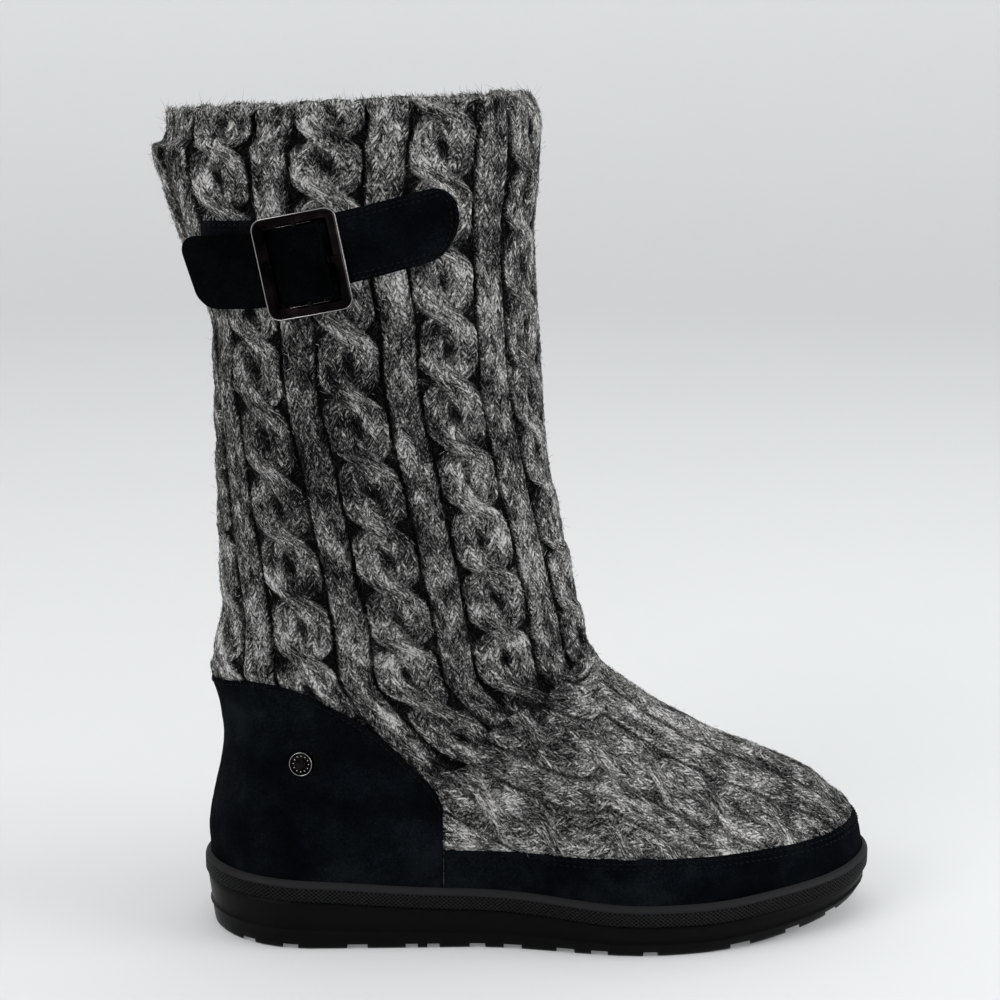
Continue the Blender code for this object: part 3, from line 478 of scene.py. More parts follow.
def knit_pattern(side_place, along, eye_level):
    """Relief, wale, lean and raised parts of the cable and rib pattern.

    Side_place counts columns, along is the distance down the wales in metres.
    """
    cell = np.floor(side_place)
    m = side_place - cell
    rib = (m - RIB_START) / (RIB_END - RIB_START)
    cable = (m - CABLE_START) / (CABLE_END - CABLE_START)
    kinds = [(rib > 0.0) & (rib < 1.0), (cable > 0.0) & (cable < 1.0)]

    slow = wobble(cell * 3.1, along * 60.0, 3)
    angle = math.pi * (along - eye_level(cell)) / CABLE_PITCH + 0.25 * slow
    across = 2.0 * cable - 1.0
    bent = np.tanh(CROSSING * np.cos(angle))
    centre = STRAND_SWING * bent / math.tanh(CROSSING)
    places, highs = [], []
    for way in (1.0, -1.0):
        place = (across - way * centre) / STRAND_HALF
        front = -way * np.sin(angle)
        high = arch(place) * (STRAND_ROUND + FRONT_ROUND * front) + FRONT_RISE * front
        places.append(place)
        highs.append(np.where(np.abs(place) < 1.0, high - STRAND_SINK, -CABLE_FLOOR))
    upper = highs[0] > highs[1]
    strand_place = np.where(upper, *places)
    strand_slope = np.where(upper, -np.sin(angle), np.sin(angle))
    strand_slope = strand_slope * (1.0 - bent ** 2) * CROSSING / math.tanh(CROSSING)
    eye = np.exp(-(across / EYE_ACROSS) ** 2 - (np.sin(angle) / EYE_ALONG) ** 2)

    high = np.clip((np.maximum(*highs) + CABLE_FLOOR) / CABLE_RANGE, 0.0, 1.0) ** CABLE_POWER
    cable_relief = -GUTTER_DEPTH + GUTTER_DEPTH * high - EYE_DEPTH * eye
    high = arch(2.0 * rib - 1.0) ** RIB_POWER
    rib_relief = -GUTTER_DEPTH + (GUTTER_DEPTH - RIB_DROP) * high
    relief = np.select(kinds, [rib_relief, np.maximum(cable_relief, -GUTTER_DEPTH)], -GUTTER_DEPTH)
    strand_wale = (strand_place + 1.0) * 0.5 * STRAND_WALES + 10.0 * (1 + upper)
    wale = np.select(kinds, [rib * RIB_WALES, strand_wale], 30.0 + 2.0 * m) + cell * 40.0
    lean = np.where(kinds[1], STRAND_SLOPE * strand_slope, 0.0)
    return relief, wale, lean, kinds[0] | kinds[1]


def stitch_relief(wale, along):
    """Relief of the V stitches, with the lean of each leg and a random tone for it."""
    column = np.floor(wale)
    frac = wale - column
    leg = np.where(frac < 0.5, -1.0, 1.0)
    climb = along / STITCH_ROW + cell_noise(column, 0.0, 1)
    climb = climb + STITCH_CLIMB * np.abs(2.0 * frac - 1.0)
    body = np.abs(np.sin(2.0 * math.pi * frac)) ** 0.6
    knot = 0.5 + 0.5 * np.cos(2.0 * math.pi * climb)
    tone = cell_noise(column * 2.0 + leg, np.floor(climb + 0.5), 2)
    return body * (0.35 + 0.65 * knot), leg, tone


def shaft_knit(turn, height):
    """Pattern of the shaft at a turn and height, and the distance down its wales."""
    share = girth_at(GIRTH / GIRTH[:, -1:], turn, height)
    place = COLUMNS * (share - GUTTER(height))
    place = place + 0.02 * wobble(share * 60.0, height * 45.0, 5)
    eye_level = lambda cell: -(EYE_LEVEL + EYE_STEP * (cell + 1.0))
    return *knit_pattern(place, -height, eye_level), -height


def ridge_distance(x, height, side):
    """Distance over the vamp from its ridge, outer side positive."""
    row = (x - RIDGE_START) / (RIDGE_END - RIDGE_START) * (RIDGE_STATIONS - 1)
    share = np.arccos(np.clip(height / front_height(x), 0.0, 1.0)) / (0.5 * math.pi)
    outer, inner = (bilinear(table, row, share * (RIDGE_STEPS - 1)) for table in RIDGE)
    return np.where(side < 0.0, outer, -inner)


def vamp_knit(turn, height):
    """Pattern of the vamp at a turn and height, and the distance along its wales to the toe."""
    level = np.maximum(height, 0.0)
    side = np.where(np.asarray(turn) <= 0.5, -1.0, 1.0)
    x = surface_point(turn, level)[..., 0]
    round_front = girth_at(GIRTH, 0.5 + 0.0 * x, level) - girth_at(GIRTH, turn, level)
    high = smooth_step((level / front_height(x) - VAMP_TOP) / (1.0 - VAMP_TOP))
    high = high * smooth_step((level - VAMP_BEND) / (INSTEP_HEIGHT - VAMP_BEND))
    distance = ridge_distance(x, level, side) * (1.0 - high) + round_front * high
    place = (distance - VAMP_PHASE) / VAMP_PERIOD + 0.02 * wobble(distance * 90.0, x * 50.0, 9)
    run = x - np.maximum(height - VAMP_BEND, 0.0)
    relief, *rest = knit_pattern(place, run, lambda cell: VAMP_EYE + VAMP_EYE_STEP * cell)
    return VAMP_RELIEF * relief, *rest, run


def seam_height(turn):
    """Height of the soft seam between shaft and vamp, or of the knit's edge behind the counter."""
    return SEAM(np.where(turn > 0.5, 1.0 - turn, turn))


def level_line(height):
    """Line at one height all round the boot."""
    return lambda turn: height + 0.0 * turn


def suede_edge(x, height):
    """Height of the suede's top edge at a place on the upper."""
    back, front = section_ends(height)
    return np.where(x < SEAM_X, COUNTER_TOP((x - back) / (SEAM_X - back)),
                    RAND_TOP((front - x) / (front - SEAM_X)))


def collar_shape(turn, height):
    """Distance added at the hem, and a swell of the knit just above the suede.

    The hem has no ledge on the sides and a rounded front corner.
    """
    above = height - suede_edge(surface_point(turn, height)[..., 0], height)
    swell = EDGE_SWELL * np.exp(-((above - SWELL_RISE) / SWELL_REACH) ** 2)
    swell = swell * smooth_step((above + 0.002) / 0.002)
    from_back = np.minimum(turn, 1.0 - turn)
    low, high = (INSTEP_HEIGHT + rise * SHAFT_HEIGHT for rise in (HEM_BELOW, HEM_ABOVE))
    fill = smooth_step((height - low) / (high - low))
    fill = fill * smooth_step((from_back - FILL_START) / FILL_REACH)
    near_top = np.clip((height - COLLAR + COLLAR_ROUND) / COLLAR_ROUND, 0.0, 1.3)
    corner = near_top ** 2 * smooth_step((from_back - CORNER_START) / CORNER_REACH)
    return swell + HEM_FILL * fill - CORNER_DROP * corner


def buckle_place(x, z):
    """Place of a point of the outer side in the buckle's own plane: ahead and up."""
    x, z = x - BUCKLE_X, z - STRAP_HEIGHT
    return (x * math.cos(BUCKLE_LEAN) + z * math.sin(BUCKLE_LEAN),
            z * math.cos(BUCKLE_LEAN) - x * math.sin(BUCKLE_LEAN))


def under_buckle(turn, height):
    """How far the knit is pressed in under the buckle, from 0 to 1."""
    ahead, up = buckle_place(surface_point(turn, height)[..., 0], FEATHER_LEVEL + height)
    past = np.maximum(np.abs(ahead) - 0.5 * BUCKLE_LENGTH, np.abs(up) - 0.5 * BUCKLE_WIDTH)
    return smooth_step(-past / BUCKLE_BAND) * (turn < 0.5)


def knit_depth(turn, height, pattern):
    """Distance of the knit's surface from the boot's outer face, and its stitches' numbers."""
    relief, wale, lean, raised, along = pattern(turn, height)
    stitch, leg, tone = stitch_relief(wale, along)
    near = np.abs(height - seam_height(turn)) / SEAM_REACH
    ditch = SEAM_DITCH * np.exp(-near ** 2) * (np.minimum(turn, 1.0 - turn) > 0.2)
    depth = relief + STITCH_RELIEF * np.where(raised, stitch, 0.4 * stitch)
    depth = np.maximum(depth - ditch, -GUTTER_DEPTH - 0.0004) - STITCH_RELIEF
    return depth, wale, along, lean, leg, tone


def mesh_object(name, points, faces, look):
    """Smooth mesh object in the scene, from arrays of points and of triangles or quads."""
    mesh = bpy.data.meshes.new(name)
    points = np.asarray(points, np.float32).reshape(-1, 3)
    mesh.vertices.add(len(points))
    mesh.vertices.foreach_set("co", points.ravel())
    mesh.loops.add(faces.size)
    mesh.loops.foreach_set("vertex_index", faces.astype(np.int32).ravel())
    mesh.polygons.add(len(faces))
    starts = np.arange(len(faces), dtype=np.int32) * faces.shape[1]
    mesh.polygons.foreach_set("loop_start", starts)
    mesh.update(calc_edges=True)
    mesh.polygons.foreach_set("use_smooth", np.ones(len(faces), bool))
    mesh.materials.append(look)
    return link(name, mesh)


def link(name, data):
    """Object that shows its data in the scene."""
    made = bpy.data.objects.new(name, data)
    bpy.context.scene.collection.objects.link(made)
    return made


def add_piece(name, points, faces, slot, look, node=None, **numbers):
    """Piece that rides on the boot, with numbers at its points for its material to read."""
    made = mesh_object(name, points, faces, look)
    for key, values in numbers.items():
        layer = made.data.attributes.new(key, "FLOAT", "POINT")
        layer.data.foreach_set("value", np.asarray(values, np.float32).ravel())
    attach(made, "root")
    if node:
        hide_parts(node)


def grid_faces(rows, columns, wrap=False, closed=False):
    """Quads of a grid of points, row by row; the columns can wrap, and the rows close."""
    index = np.arange(rows * columns).reshape(rows, columns)
    if wrap:
        index = np.concatenate([index, index[:, :1]], axis=1)
    if closed:
        index = np.concatenate([index, index[:1]])
    corners = (index[:-1, :-1], index[:-1, 1:], index[1:, 1:], index[1:, :-1])
    return np.stack(corners, axis=-1).reshape(-1, 4)


def join(blocks):
    """Points and faces of blocks of shapes that are alike, each with the faces of one shape."""
    points, faces, start = [], [], 0
    for block, corners in blocks:
        count, size = block.shape[:2]
        first = start + size * np.arange(count)
        points.append(block.reshape(-1, 3))
        faces.append((corners + first[:, None, None]).reshape(-1, corners.shape[1]))
        start += count * size
    return np.concatenate(points), np.concatenate(faces)


def add_sheet(name, inner, outer, slot, look, node):
    """Closed piece between two grids of the same shape."""
    rows, columns = inner.shape[:2]
    index = np.arange(rows * columns).reshape(rows, columns)
    shift = rows * columns
    faces = grid_faces(rows, columns)
    rim = np.concatenate([index[0, :-1], index[:-1, -1], index[-1, :0:-1], index[:0:-1, 0]])
    after = np.roll(rim, -1)
    side = np.stack([rim, after, after + shift, rim + shift], axis=-1)
    points = np.concatenate([inner.reshape(-1, 3), outer.reshape(-1, 3)])
    faces = np.concatenate([faces + shift, faces[:, ::-1], side])
    corner = points[faces]
    volume = np.einsum("ij,ij->i", corner[:, 0], np.cross(corner[:, 1], corner[:, 2])).sum()
    if volume < 0.0:
        faces = faces[:, ::-1]
    add_piece(name, points, faces, slot, look, node)


def knit_grid(region, columns, rows):
    """Turns and heights of a grid over a region: its first and last turn, low and high line."""
    first, last, low, high = region
    turn, share = np.meshgrid(np.linspace(first, last, columns), np.linspace(0.0, 1.0, rows))
    return turn, low(turn) + (high(turn) - low(turn)) * share


def make_knit(name, region, pattern, columns, rows, look):
    """Piece of knit over a region."""
    turn, height = knit_grid(region, columns, rows)
    depth, wale, along, *_ = knit_depth(turn, height, pattern)
    press = under_buckle(turn, height)
    depth = depth * (1.0 - press) - GUTTER_DEPTH * press
    points = offset_point(turn, height, depth + collar_shape(turn, height))
    # The knit's depth, also where it is pressed under the buckle, goes to the material, which darkens
    # sunk places as painted shade.
    add_piece(name, points, grid_faces(*turn.shape), "knit", look, "upper", wale=wale,
              deep=np.clip(-depth / GUTTER_DEPTH, 0.0, 1.2), along=along * 1000.0)


def make_collar(look):
    """Rolled edge of the knit at the collar, and the knit's turned-in hem."""
    turns = np.arange(520) / 520
    arc = np.linspace(0.0, math.pi, 11)
    rise = np.concatenate([np.linspace(-COLLAR_START, -RIM, 4)[:-1], RIM * (np.sin(arc) - 1.0),
                           np.linspace(-RIM, -HEM_DOWN, 8)[1:]])[:, None]
    depth = np.concatenate([np.zeros(3), RIM * (np.cos(arc) - 1.0), np.full(7, -2.0 * RIM)])[:, None]
    tilt = np.concatenate([np.zeros(3), arc, np.full(7, math.pi)])[:, None]
    run = running_length(np.hstack([rise, depth]))[:, None]
    lift, wale, along, *_ = knit_depth(turns + 0.0 * run, COLLAR - COLLAR_START + run + 0.0 * turns,
                                       shaft_knit)
    # Depth of the rolled edge's stitches, which the material darkens as painted shade.
    deep = -lift / GUTTER_DEPTH
    puff = 0.0009 * wobble(turns * 2.0 * math.pi * 3.0, 0.0 * turns, 6)
    lift = lift * (1.0 - 0.5 * smooth_step(tilt / math.pi)) + puff * np.sin(tilt)
    shape = collar_shape(turns, COLLAR + rise)
    points = offset_point(turns, COLLAR + rise + lift * np.sin(tilt),
                          depth + shape + lift * np.cos(tilt))
    add_piece("knit_collar", points, grid_faces(*wale.shape, wrap=True), "knit", look,
              wale=wale, deep=deep, along=along * 1000.0)
    return points, wale


def fibres(roots, direction, normal, rise, length, width, rings, bend=0.0):
    """Closed thin fibres, tipped off a surface by their rise: a root, rings and a tip each."""
    along = unit(direction + normal * rise[:, None])
    side = unit(np.cross(along, normal))
    third = np.cross(along, side)
    points = []
    for share, thick in ((0.0, 0.0), *rings, (1.0, 0.0)):
        middle = roots + along * (length * share)[:, None]
        middle = middle + normal * (bend * length * share * share)[:, None]
        for angle in FIBRE_CORNERS if thick else FIBRE_CORNERS[:1]:
            spread = side * math.cos(angle) + third * math.sin(angle)
            points.append(middle + spread * (0.5 * thick * width)[:, None])
    faces = []
    last = 3 * len(rings) - 2
    for corner, after in ((0, 1), (1, 2), (2, 0)):
        faces += [(0, 1 + after, 1 + corner), (last + corner, last + after, last + 3)]
        for first in range(1, last, 3):
            faces += [(first + corner, first + after, first + 3 + after),
                      (first + corner, first + 3 + after, first + 3 + corner)]
    return np.stack(points, axis=1), np.array(faces)


def add_fuzz(name, batches, look):
    """Piece of fibres from batches of them, with a tone for each fibre."""
    points, faces = join([batch for batch, _ in batches])
    tones = [np.repeat(tone, batch[0].shape[1]) for batch, tone in batches]
    add_piece(name, points, faces, "knit", look, tone=np.concatenate(tones))


def make_collar_fuzz(grid, wale, look):
    """Fibres over the rolled edge, and a few long wisps."""
    batches = []
    for count, loose in ((3000, False), (700, True)):
        row = rng.uniform(0.0, len(grid) - 9.0, count)
        column = rng.uniform(0.0, grid.shape[1] - 2.0, count)
        roots, after, beside = (
            np.stack([bilinear(grid[..., k], row + down, column + right) for k in range(3)], axis=-1)
            for down, right in ((0.0, 0.0), (0.6, 0.0), (0.0, 0.6)))
        normal = unit(np.cross(beside - roots, after - roots))
        up, across = unit(after - roots), unit(beside - roots)
        place = bilinear(wale, row, column)
        leg = np.where(place - np.floor(place) < 0.5, -1.0, 1.0)
        slope = leg * LEG_SLOPE + rng.normal(0.0, 0.5 if loose else 0.2, count)
        direction = unit(up + across * slope[:, None])
        if loose:
            batch = fibres(roots, direction, normal, rng.uniform(0.3, 1.5, count),
                           0.0018 + 0.0065 * rng.random(count) ** 3,
                           rng.uniform(0.00008, 0.00014, count), HAIR_RINGS,
                           rng.uniform(-0.7, 0.2, count))
        else:
            batch = fibres(roots, direction, normal, rng.uniform(0.0, 0.2, count),
                           rng.uniform(0.0018, 0.0038, count),
                           rng.uniform(0.00016, 0.00032, count), SLIVER_RINGS)
        batches.append((batch, 0.15 + 0.8 * rng.random(count)))
    add_fuzz("knit_collar_fuzz", batches, look)


def scatter(region, count):
    """Random turns and heights, even over the area of a region of knit."""
    turn, height = knit_grid(region, 60, 60)
    points = surface_point(turn, height)
    one = points[1:, 1:] - points[:-1, :-1]
    two = points[1:, :-1] - points[:-1, 1:]
    area = np.linalg.norm(np.cross(one, two), axis=-1).ravel()
    pick = np.searchsorted(np.cumsum(area) / area.sum(), rng.random(count))
    row, column = np.divmod(np.clip(pick, 0, len(area) - 1), turn.shape[1] - 1)
    row = row + rng.random(count)
    column = column + rng.random(count)
    return bilinear(turn, row, column), bilinear(height, row, column)


def strap_level(line, x):
    """Height of a strap's middle line at x."""
    return STRAP_HEIGHT + STRAP_WIDTH * line((x - BUCKLE_X) / STRAP_BASE_LENGTH)


def bare(turn, height):
    """Where the knit isn't under suede."""
    x = surface_point(turn, height)[..., 0]
    from_strap = np.abs(FEATHER_LEVEL + height - strap_level(BASE_MIDDLE, x))
    strap = (turn < 0.5) & (x < STRAP_FRONT_X - 0.001) & (from_strap < 0.54 * STRAP_WIDTH)
    strap = strap & (x > TIP_BACK_X) | (under_buckle(turn, height) > 0.2)
    return (height > suede_edge(x, height) + 0.0004) & ~strap


def fibre_places(region, pattern, count):
    """Roots, directions, normals and tones of fibres that follow the stitches of a region, the tones
    darker where the knit is sunk as painted shade.
    """
    turn, height = scatter(region, count)
    shown = bare(turn, height)
    turn, height, count = turn[shown], height[shown], int(shown.sum())
    depth, _, _, lean, leg, tone = knit_depth(turn, height, pattern)
    across, up, normal = surface_frame(turn, height)
    if pattern is shaft_knit:
        down, right = -up, across
    else:
        down = unit(np.array([1.0, 0.0, 0.0]) - normal * normal[:, :1])
        right = np.cross(down, normal)
    slope = lean - leg * LEG_SLOPE + rng.normal(0.0, SLIVER_SPREAD, count)
    direction = down + right * slope[:, None]
    direction = unit(direction * np.where(rng.random(count) < 0.5, -1.0, 1.0)[:, None])
    lift = depth + collar_shape(turn, height) + FIBRE_LIFT
    roots = surface_point(turn, height) + normal * lift[:, None]
    shade = 0.70 * rng.random(count) + 0.30 * tone
    # Painted shade: fibres in the gutters get darker tones.
    sunk_shade = np.clip(-depth / GUTTER_DEPTH - 0.15, 0.0, 1.0)
    return roots, direction, normal, 0.95 * shade * (1.0 - 0.65 * sunk_shade)


def make_fuzz(name, pattern, regions, look):
    """Fibres lying along the stitches, and longer loose ones that stand off as a halo."""
    batches = []
    for *region, lying, loose in regions:
        roots, direction, normal, shade = fibre_places(region, pattern, lying)
        count = len(roots)
        length = rng.uniform(*SLIVER_LENGTH, count)
        roots = roots - direction * (0.4 * length)[:, None]
        batches.append((fibres(roots, direction, normal, rng.uniform(*SLIVER_RISE, count), length,
                               rng.uniform(*SLIVER_WIDTH, count), SLIVER_RINGS), shade))
        roots, direction, normal, shade = fibre_places(region, pattern, loose)
        count = len(roots)
        direction = direction + 0.5 * rng.normal(0.0, 1.0, (count, 3))
        hairs = fibres(roots, direction, normal, rng.uniform(*HAIR_RISE, count),
                       rng.uniform(*HAIR_LENGTH, count), rng.uniform(*HAIR_WIDTH, count),
                       HAIR_RINGS, rng.uniform(*HAIR_BEND, count))
        glint = rng.random(count) < GLINT_SHARE
        batches.append((hairs, np.where(glint, 1.0, 0.25 + 0.6 * shade)))
    add_fuzz(name, batches, look)


def make_upper(look, fibre):
    """Knit of the shaft, in an outer and an inner half, of the vamp and of the collar."""
    edge = level_line(COLLAR - COLLAR_START + 0.0002)
    make_knit("knit_shaft_outer", (0.0, 0.5, seam_height, edge), shaft_knit, 280, 310, look)
    make_knit("knit_shaft_inner", (0.5, 1.0, seam_height, edge), shaft_knit, 180, 200, look)
    make_knit("knit_vamp", (0.20, 0.80, level_line(-0.001), seam_height), vamp_knit, 440, 150, look)
    make_collar_fuzz(*make_collar(look), fibre)
    make_fuzz("knit_fuzz_outer", shaft_knit, [(0.0, 0.5, seam_height, edge, 22500, 4600)], fibre)
    make_fuzz("knit_fuzz_inner", shaft_knit, [(0.5, 1.0, seam_height, edge, 6500, 1800)], fibre)
    shown = level_line(0.010)
    make_fuzz("knit_fuzz_foot", vamp_knit, [(0.21, 0.5, shown, seam_height, 9500, 2000),
                                            (0.5, 0.79, shown, seam_height, 4500, 700)], fibre)


def edge_round(distance):
    """Share of a sheet's thickness near its cut edge."""
    return np.maximum(arch(1.0 - np.clip(distance / EDGE_ROUND, 0.0, 1.0)), math.sqrt(0.02))


def overlay_turn(end, seam, share, side, level):
    """Turn of a place on an overlay, a share of the way from the boot's end to the seam."""
    end_x = SECTIONS[end](np.maximum(level, 0.0))
    x = end_x + (seam - end_x) * share
    return turn_at(x, level, side), np.abs(seam - x)


def make_overlay(name, node, end, seam, top_line, columns, rows, look):
    """Suede overlay that wraps one end of the boot, with thin rounded edges."""
    angle = np.linspace(-0.5 * math.pi, 0.5 * math.pi, columns)
    share = 1.0 - np.cos(angle)
    top = top_line(share)
    rise = np.sin(np.linspace(0.0, 0.5 * math.pi, rows))[:, None]
    level = -OVERLAY_TUCK + (top + OVERLAY_TUCK) * rise
    turn, from_seam = overlay_turn(end, seam, share, np.sign(angle), level)
    thick = SUEDE * edge_round(np.minimum(top - level, from_seam))
    soft = EDGE_WAVE * wobble(turn * 70.0, level * 400.0, 4)
    add_sheet(name, offset_point(turn, level, SUEDE_LOW),
              offset_point(turn, level, SUEDE_LOW + thick + soft), "suede", look, node)


def base_ends(across):
    """Ends of the sewn strap at a place across it: square at the back, round at the front."""
    front = STRAP_FRONT_X - BASE_ROUND_SHARE * STRAP_WIDTH * (1.0 - arch(across))
    return STRAP_BACK_X + 0.0 * across, front


def tip_ends(across):
    """Ends of the free strap: a slant with round corners, and a straight end in the buckle."""
    reach = TIP_CORNER / (0.5 * STRAP_WIDTH)
    past = np.clip((np.abs(across) - 1.0 + reach) / reach, 0.0, 1.0)
    back = TIP_BACK_X - TIP_SLANT * across + TIP_CORNER * (1.0 - arch(past))
    lean = 0.5 * STRAP_WIDTH * math.tan(BUCKLE_LEAN)
    return back, BUCKLE_X + PANEL_END / math.cos(BUCKLE_LEAN) - lean * across


def strap_grid(line, ends, width_share, columns):
    """Places on a strap: x, z and the share of its thickness there."""
    along = 0.5 - 0.5 * np.cos(np.linspace(0.0, math.pi, columns))
    across = np.sin(np.linspace(-0.5 * math.pi, 0.5 * math.pi, 40))[:, None]
    first, last = ends(across)
    x = first + (last - first) * along
    z = strap_level(line, x) + 0.5 * STRAP_WIDTH * width_share * across
    distance = np.minimum(0.5 * STRAP_WIDTH * (1.0 - np.abs(across)), np.minimum(x - first, last - x))
    return x, z, edge_round(distance)


def frame_seat(ahead):
    """Distance of the buckle's underside from the shaft, higher at the back over the strap."""
    share = (0.5 * BUCKLE_LENGTH - ahead) / (0.5 * BUCKLE_LENGTH + INNER_HALF)
    return ON_BASE + (ON_TIP - ON_BASE) * np.clip(share, 0.0, 1.0)


def tip_lift(x, z):
    """Distance of the free strap's underside from the shaft: over the bar, then down behind it."""
    bar_top = frame_seat(0.0) + 0.5 * BUCKLE_THICKNESS + BAR_RADIUS
    ahead, _ = buckle_place(x, z)
    over = smooth_step((ahead + 0.9 * INNER_HALF) / (0.7 * INNER_HALF))
    return ON_BASE + (bar_top + CLEARANCE - ON_BASE) * over


def tip_point(x, z, lift):
    """Point of the free strap: on the shaft's side, then straight off it with a slight curl."""
    held = np.maximum(x, TIP_LEAVES_X)
    start = outer_side_point(held, z, lift)
    step = NUDGE * SHAFT_DEPTH
    run = (outer_side_point(held + step, z, lift) - start) / step
    beyond = (x - held)[..., None]
    curl = np.array((0.0, TIP_CURL, 0.0)) * (beyond / (TIP_HOLD + TIP_REACH)) ** 2
    return start + run * beyond + curl


def make_straps(look, painted_shade_look):
    """Sewn strap and the free strap end that passes the buckle, the end in a darker copy of the suede
    as painted shade.
    """
    x, z, share = strap_grid(BASE_MIDDLE, base_ends, BASE_WIDTH_SHARE, 120)
    add_sheet("suede_strap", outer_side_point(x, z, SUEDE_LOW),
              outer_side_point(x, z, SUEDE_LOW + SUEDE * share), "suede", look, "strap_base")
    x, z, share = strap_grid(TIP_MIDDLE, tip_ends, 1.0, 100)
    lift = tip_lift(x, z)
    add_sheet("suede_strap_end", tip_point(x, z, lift), tip_point(x, z, lift + SUEDE * share),
              "suede", painted_shade_look, "strap_tip")


def overlay_path(end, seam, top_line, inset):
    """Line that follows an overlay's top edge at a distance below it, with its normals."""
    angle = np.linspace(-0.5 * math.pi, 0.5 * math.pi, 500)
    share = 1.0 - np.cos(angle)
    level = top_line(share) - inset
    turn, _ = overlay_turn(end, seam, share, np.sign(angle), level)
    return offset_point(turn, level, SUEDE_TOP), surface_normal(turn, level)


def strap_path(inset):
    """Line round the sewn strap at a distance inside its edge, open at the buckle's side."""
    half = 0.5 * STRAP_WIDTH * BASE_WIDTH_SHARE - inset
    corner = np.cos(np.linspace(0.0, 0.5 * math.pi, 24))
    across = np.concatenate([np.ones(80), corner, -corner[::-1], -np.ones(80)])
    share = np.concatenate([np.linspace(0.0, 1.0, 80), np.ones(48), np.linspace(1.0, 0.0, 80)])
    back, front = base_ends(across * (half / (0.5 * STRAP_WIDTH)))
    x = back + inset + (front - back - 2.0 * inset) * share
    z = strap_level(BASE_MIDDLE, x) + half * across
    return outer_side_point(x, z, SUEDE_TOP), outer_side_normal(x, z)


def make_stitches(name, paths, pitch, look):
    """Rows of short sewn stitches along paths of points with their outward directions."""
    caps = [[0, 1, 2, 3], [0, 3, 4, 5], [33, 32, 31, 30], [35, 34, 33, 30]]
    faces = np.concatenate([grid_faces(6, 6, wrap=True), caps])[:, ::-1]
    blocks = []
    for points, normals in paths:
        run = running_length(points)
        count = max(int(run[-1] / pitch), 1)
        middles = (np.arange(count) + 0.5) * run[-1] / count
        start, end = (sample(points, run, middles + way * SEWN_HALF * pitch) for way in (-1.0, 1.0))
        out = sample(normals, run, middles)
        side = np.cross(unit(end - start), out)
        rings = []
        for share in np.linspace(0.0, 1.0, 6):
            swell = arch(2.0 * share - 1.0)
            middle = start + (end - start) * share + out * (THREAD * (0.75 * swell - 0.35))
            thick = 0.6 * THREAD * max(swell, 0.12)
            for angle in HEXAGON:
                rings.append(middle + thick * (side * math.cos(angle) + out * math.sin(angle)))
        blocks.append((np.stack(rings, axis=1), faces))
    add_piece(name, *join(blocks), "suede", look)


def make_sewing(look):
    """Stitch rows on the overlays and the straps."""
    paths = [overlay_path("front", SEAM_X + SEWN_GAP, RAND_TOP, inset) for inset in RAND_ROWS]
    paths += [overlay_path("back", SEAM_X - SEWN_GAP, COUNTER_TOP, inset) for inset in COUNTER_ROWS]
    make_stitches("overlay_stitches", paths, OVERLAY_PITCH, look)
    make_stitches("strap_stitches", [strap_path(inset) for inset in STRAP_ROWS],
                  STRAP_PITCH, look)


def make_band(look):
    """Rubber strip round the sole's top: a bevelled ledge above a knurled face."""
    fine = np.linspace(0.0, 1.0, 4001)
    run = running_length(surface_point(fine, 0.0)[:, :2])
    turns = np.interp(np.arange(BAND_COLUMNS) / BAND_COLUMNS * run[-1], run, fine)
    turns = np.append(turns, 1.0)
    ahead = (surface_point(turns + NUDGE, 0.0) - surface_point(turns - NUDGE, 0.0))[:, :2]
    outward = unit(np.stack([ahead[:, 1], -ahead[:, 0]], axis=-1))
    profile = np.array((
        (BAND_INNER, 0.0), (BAND_INNER + 0.25 * LEDGE, 0.06 * LEDGE),
        (SOLE_MARGIN - 0.30 * LEDGE, 0.60 * LEDGE), (SOLE_MARGIN - 0.12 * LEDGE, 0.86 * LEDGE),
        (SOLE_MARGIN - 0.05 * LEDGE, 1.10 * LEDGE), (SOLE_MARGIN - 0.12 * LEDGE, 1.18 * LEDGE),
        (SOLE_MARGIN, 1.30 * LEDGE), (SOLE_MARGIN, BAND_DROP - 0.0005),
        (SOLE_MARGIN - 0.0004, BAND_DROP), (BAND_INNER, BAND_DROP)))
    outset, drop = profile[:, 0, None, None], profile[:, 1, None]
    flat = surface_point(turns, 0.0)[:, :2] + outward * outset
    points = np.concatenate([flat, (feather_level(flat[..., 0]) - drop)[..., None]], axis=-1)
    phase = np.linspace(0.0, round(run[-1] / KNURL_PITCH), BAND_COLUMNS + 1) + 0.0 * drop
    faces = grid_faces(*phase.shape)[:, ::-1]
    add_piece("knurled_band", points, faces, "band_rubber", look, "foxing_band",
              phase=phase, drop=drop / KNURL_PITCH + 0.0 * phase)


def make_lining(look):
    """Fleece lining from the turned-in hem down to the footbed."""
    turns = np.arange(110) / 110
    height = np.linspace(COLLAR - LINING_TOP, -LINING_LOW, 60)[:, None]
    soft = PILE_WAVE * wobble(turns * 60.0, height * 300.0, 8)
    add_piece("fleece_lining", offset_point(turns, height, soft - LINING_DEPTH),
              grid_faces(*soft.shape, wrap=True), "fleece", look)


def make_footbed(look):
    """Soft pile over the footbed."""
    turns = np.linspace(0.004, 0.496, 110)
    share = np.linspace(0.0, 1.0, 50)[:, None]
    outer, inner = (offset_point(turn, 0.0, -KNIT_WALL - CLEARANCE) for turn in (turns, 1.0 - turns))
    points = outer * (1.0 - share[..., None]) + inner * share[..., None]
    soft = PILE_WAVE * wobble(points[..., 0] * 500.0, points[..., 1] * 500.0, 11)
    crown = FOOTBED_CROWN * (1.0 - (2.0 * share - 1.0) ** 6)
    top = feather_level(points[..., 0]) - (BAND_DROP - FOOTBED)
    low = points.copy()
    points[..., 2] = top + soft + crown - PILE_WAVE
    low[..., 2] = top - 0.5 * FOOTBED
    add_sheet("fleece_footbed", low, points, "fleece", look, "insole")


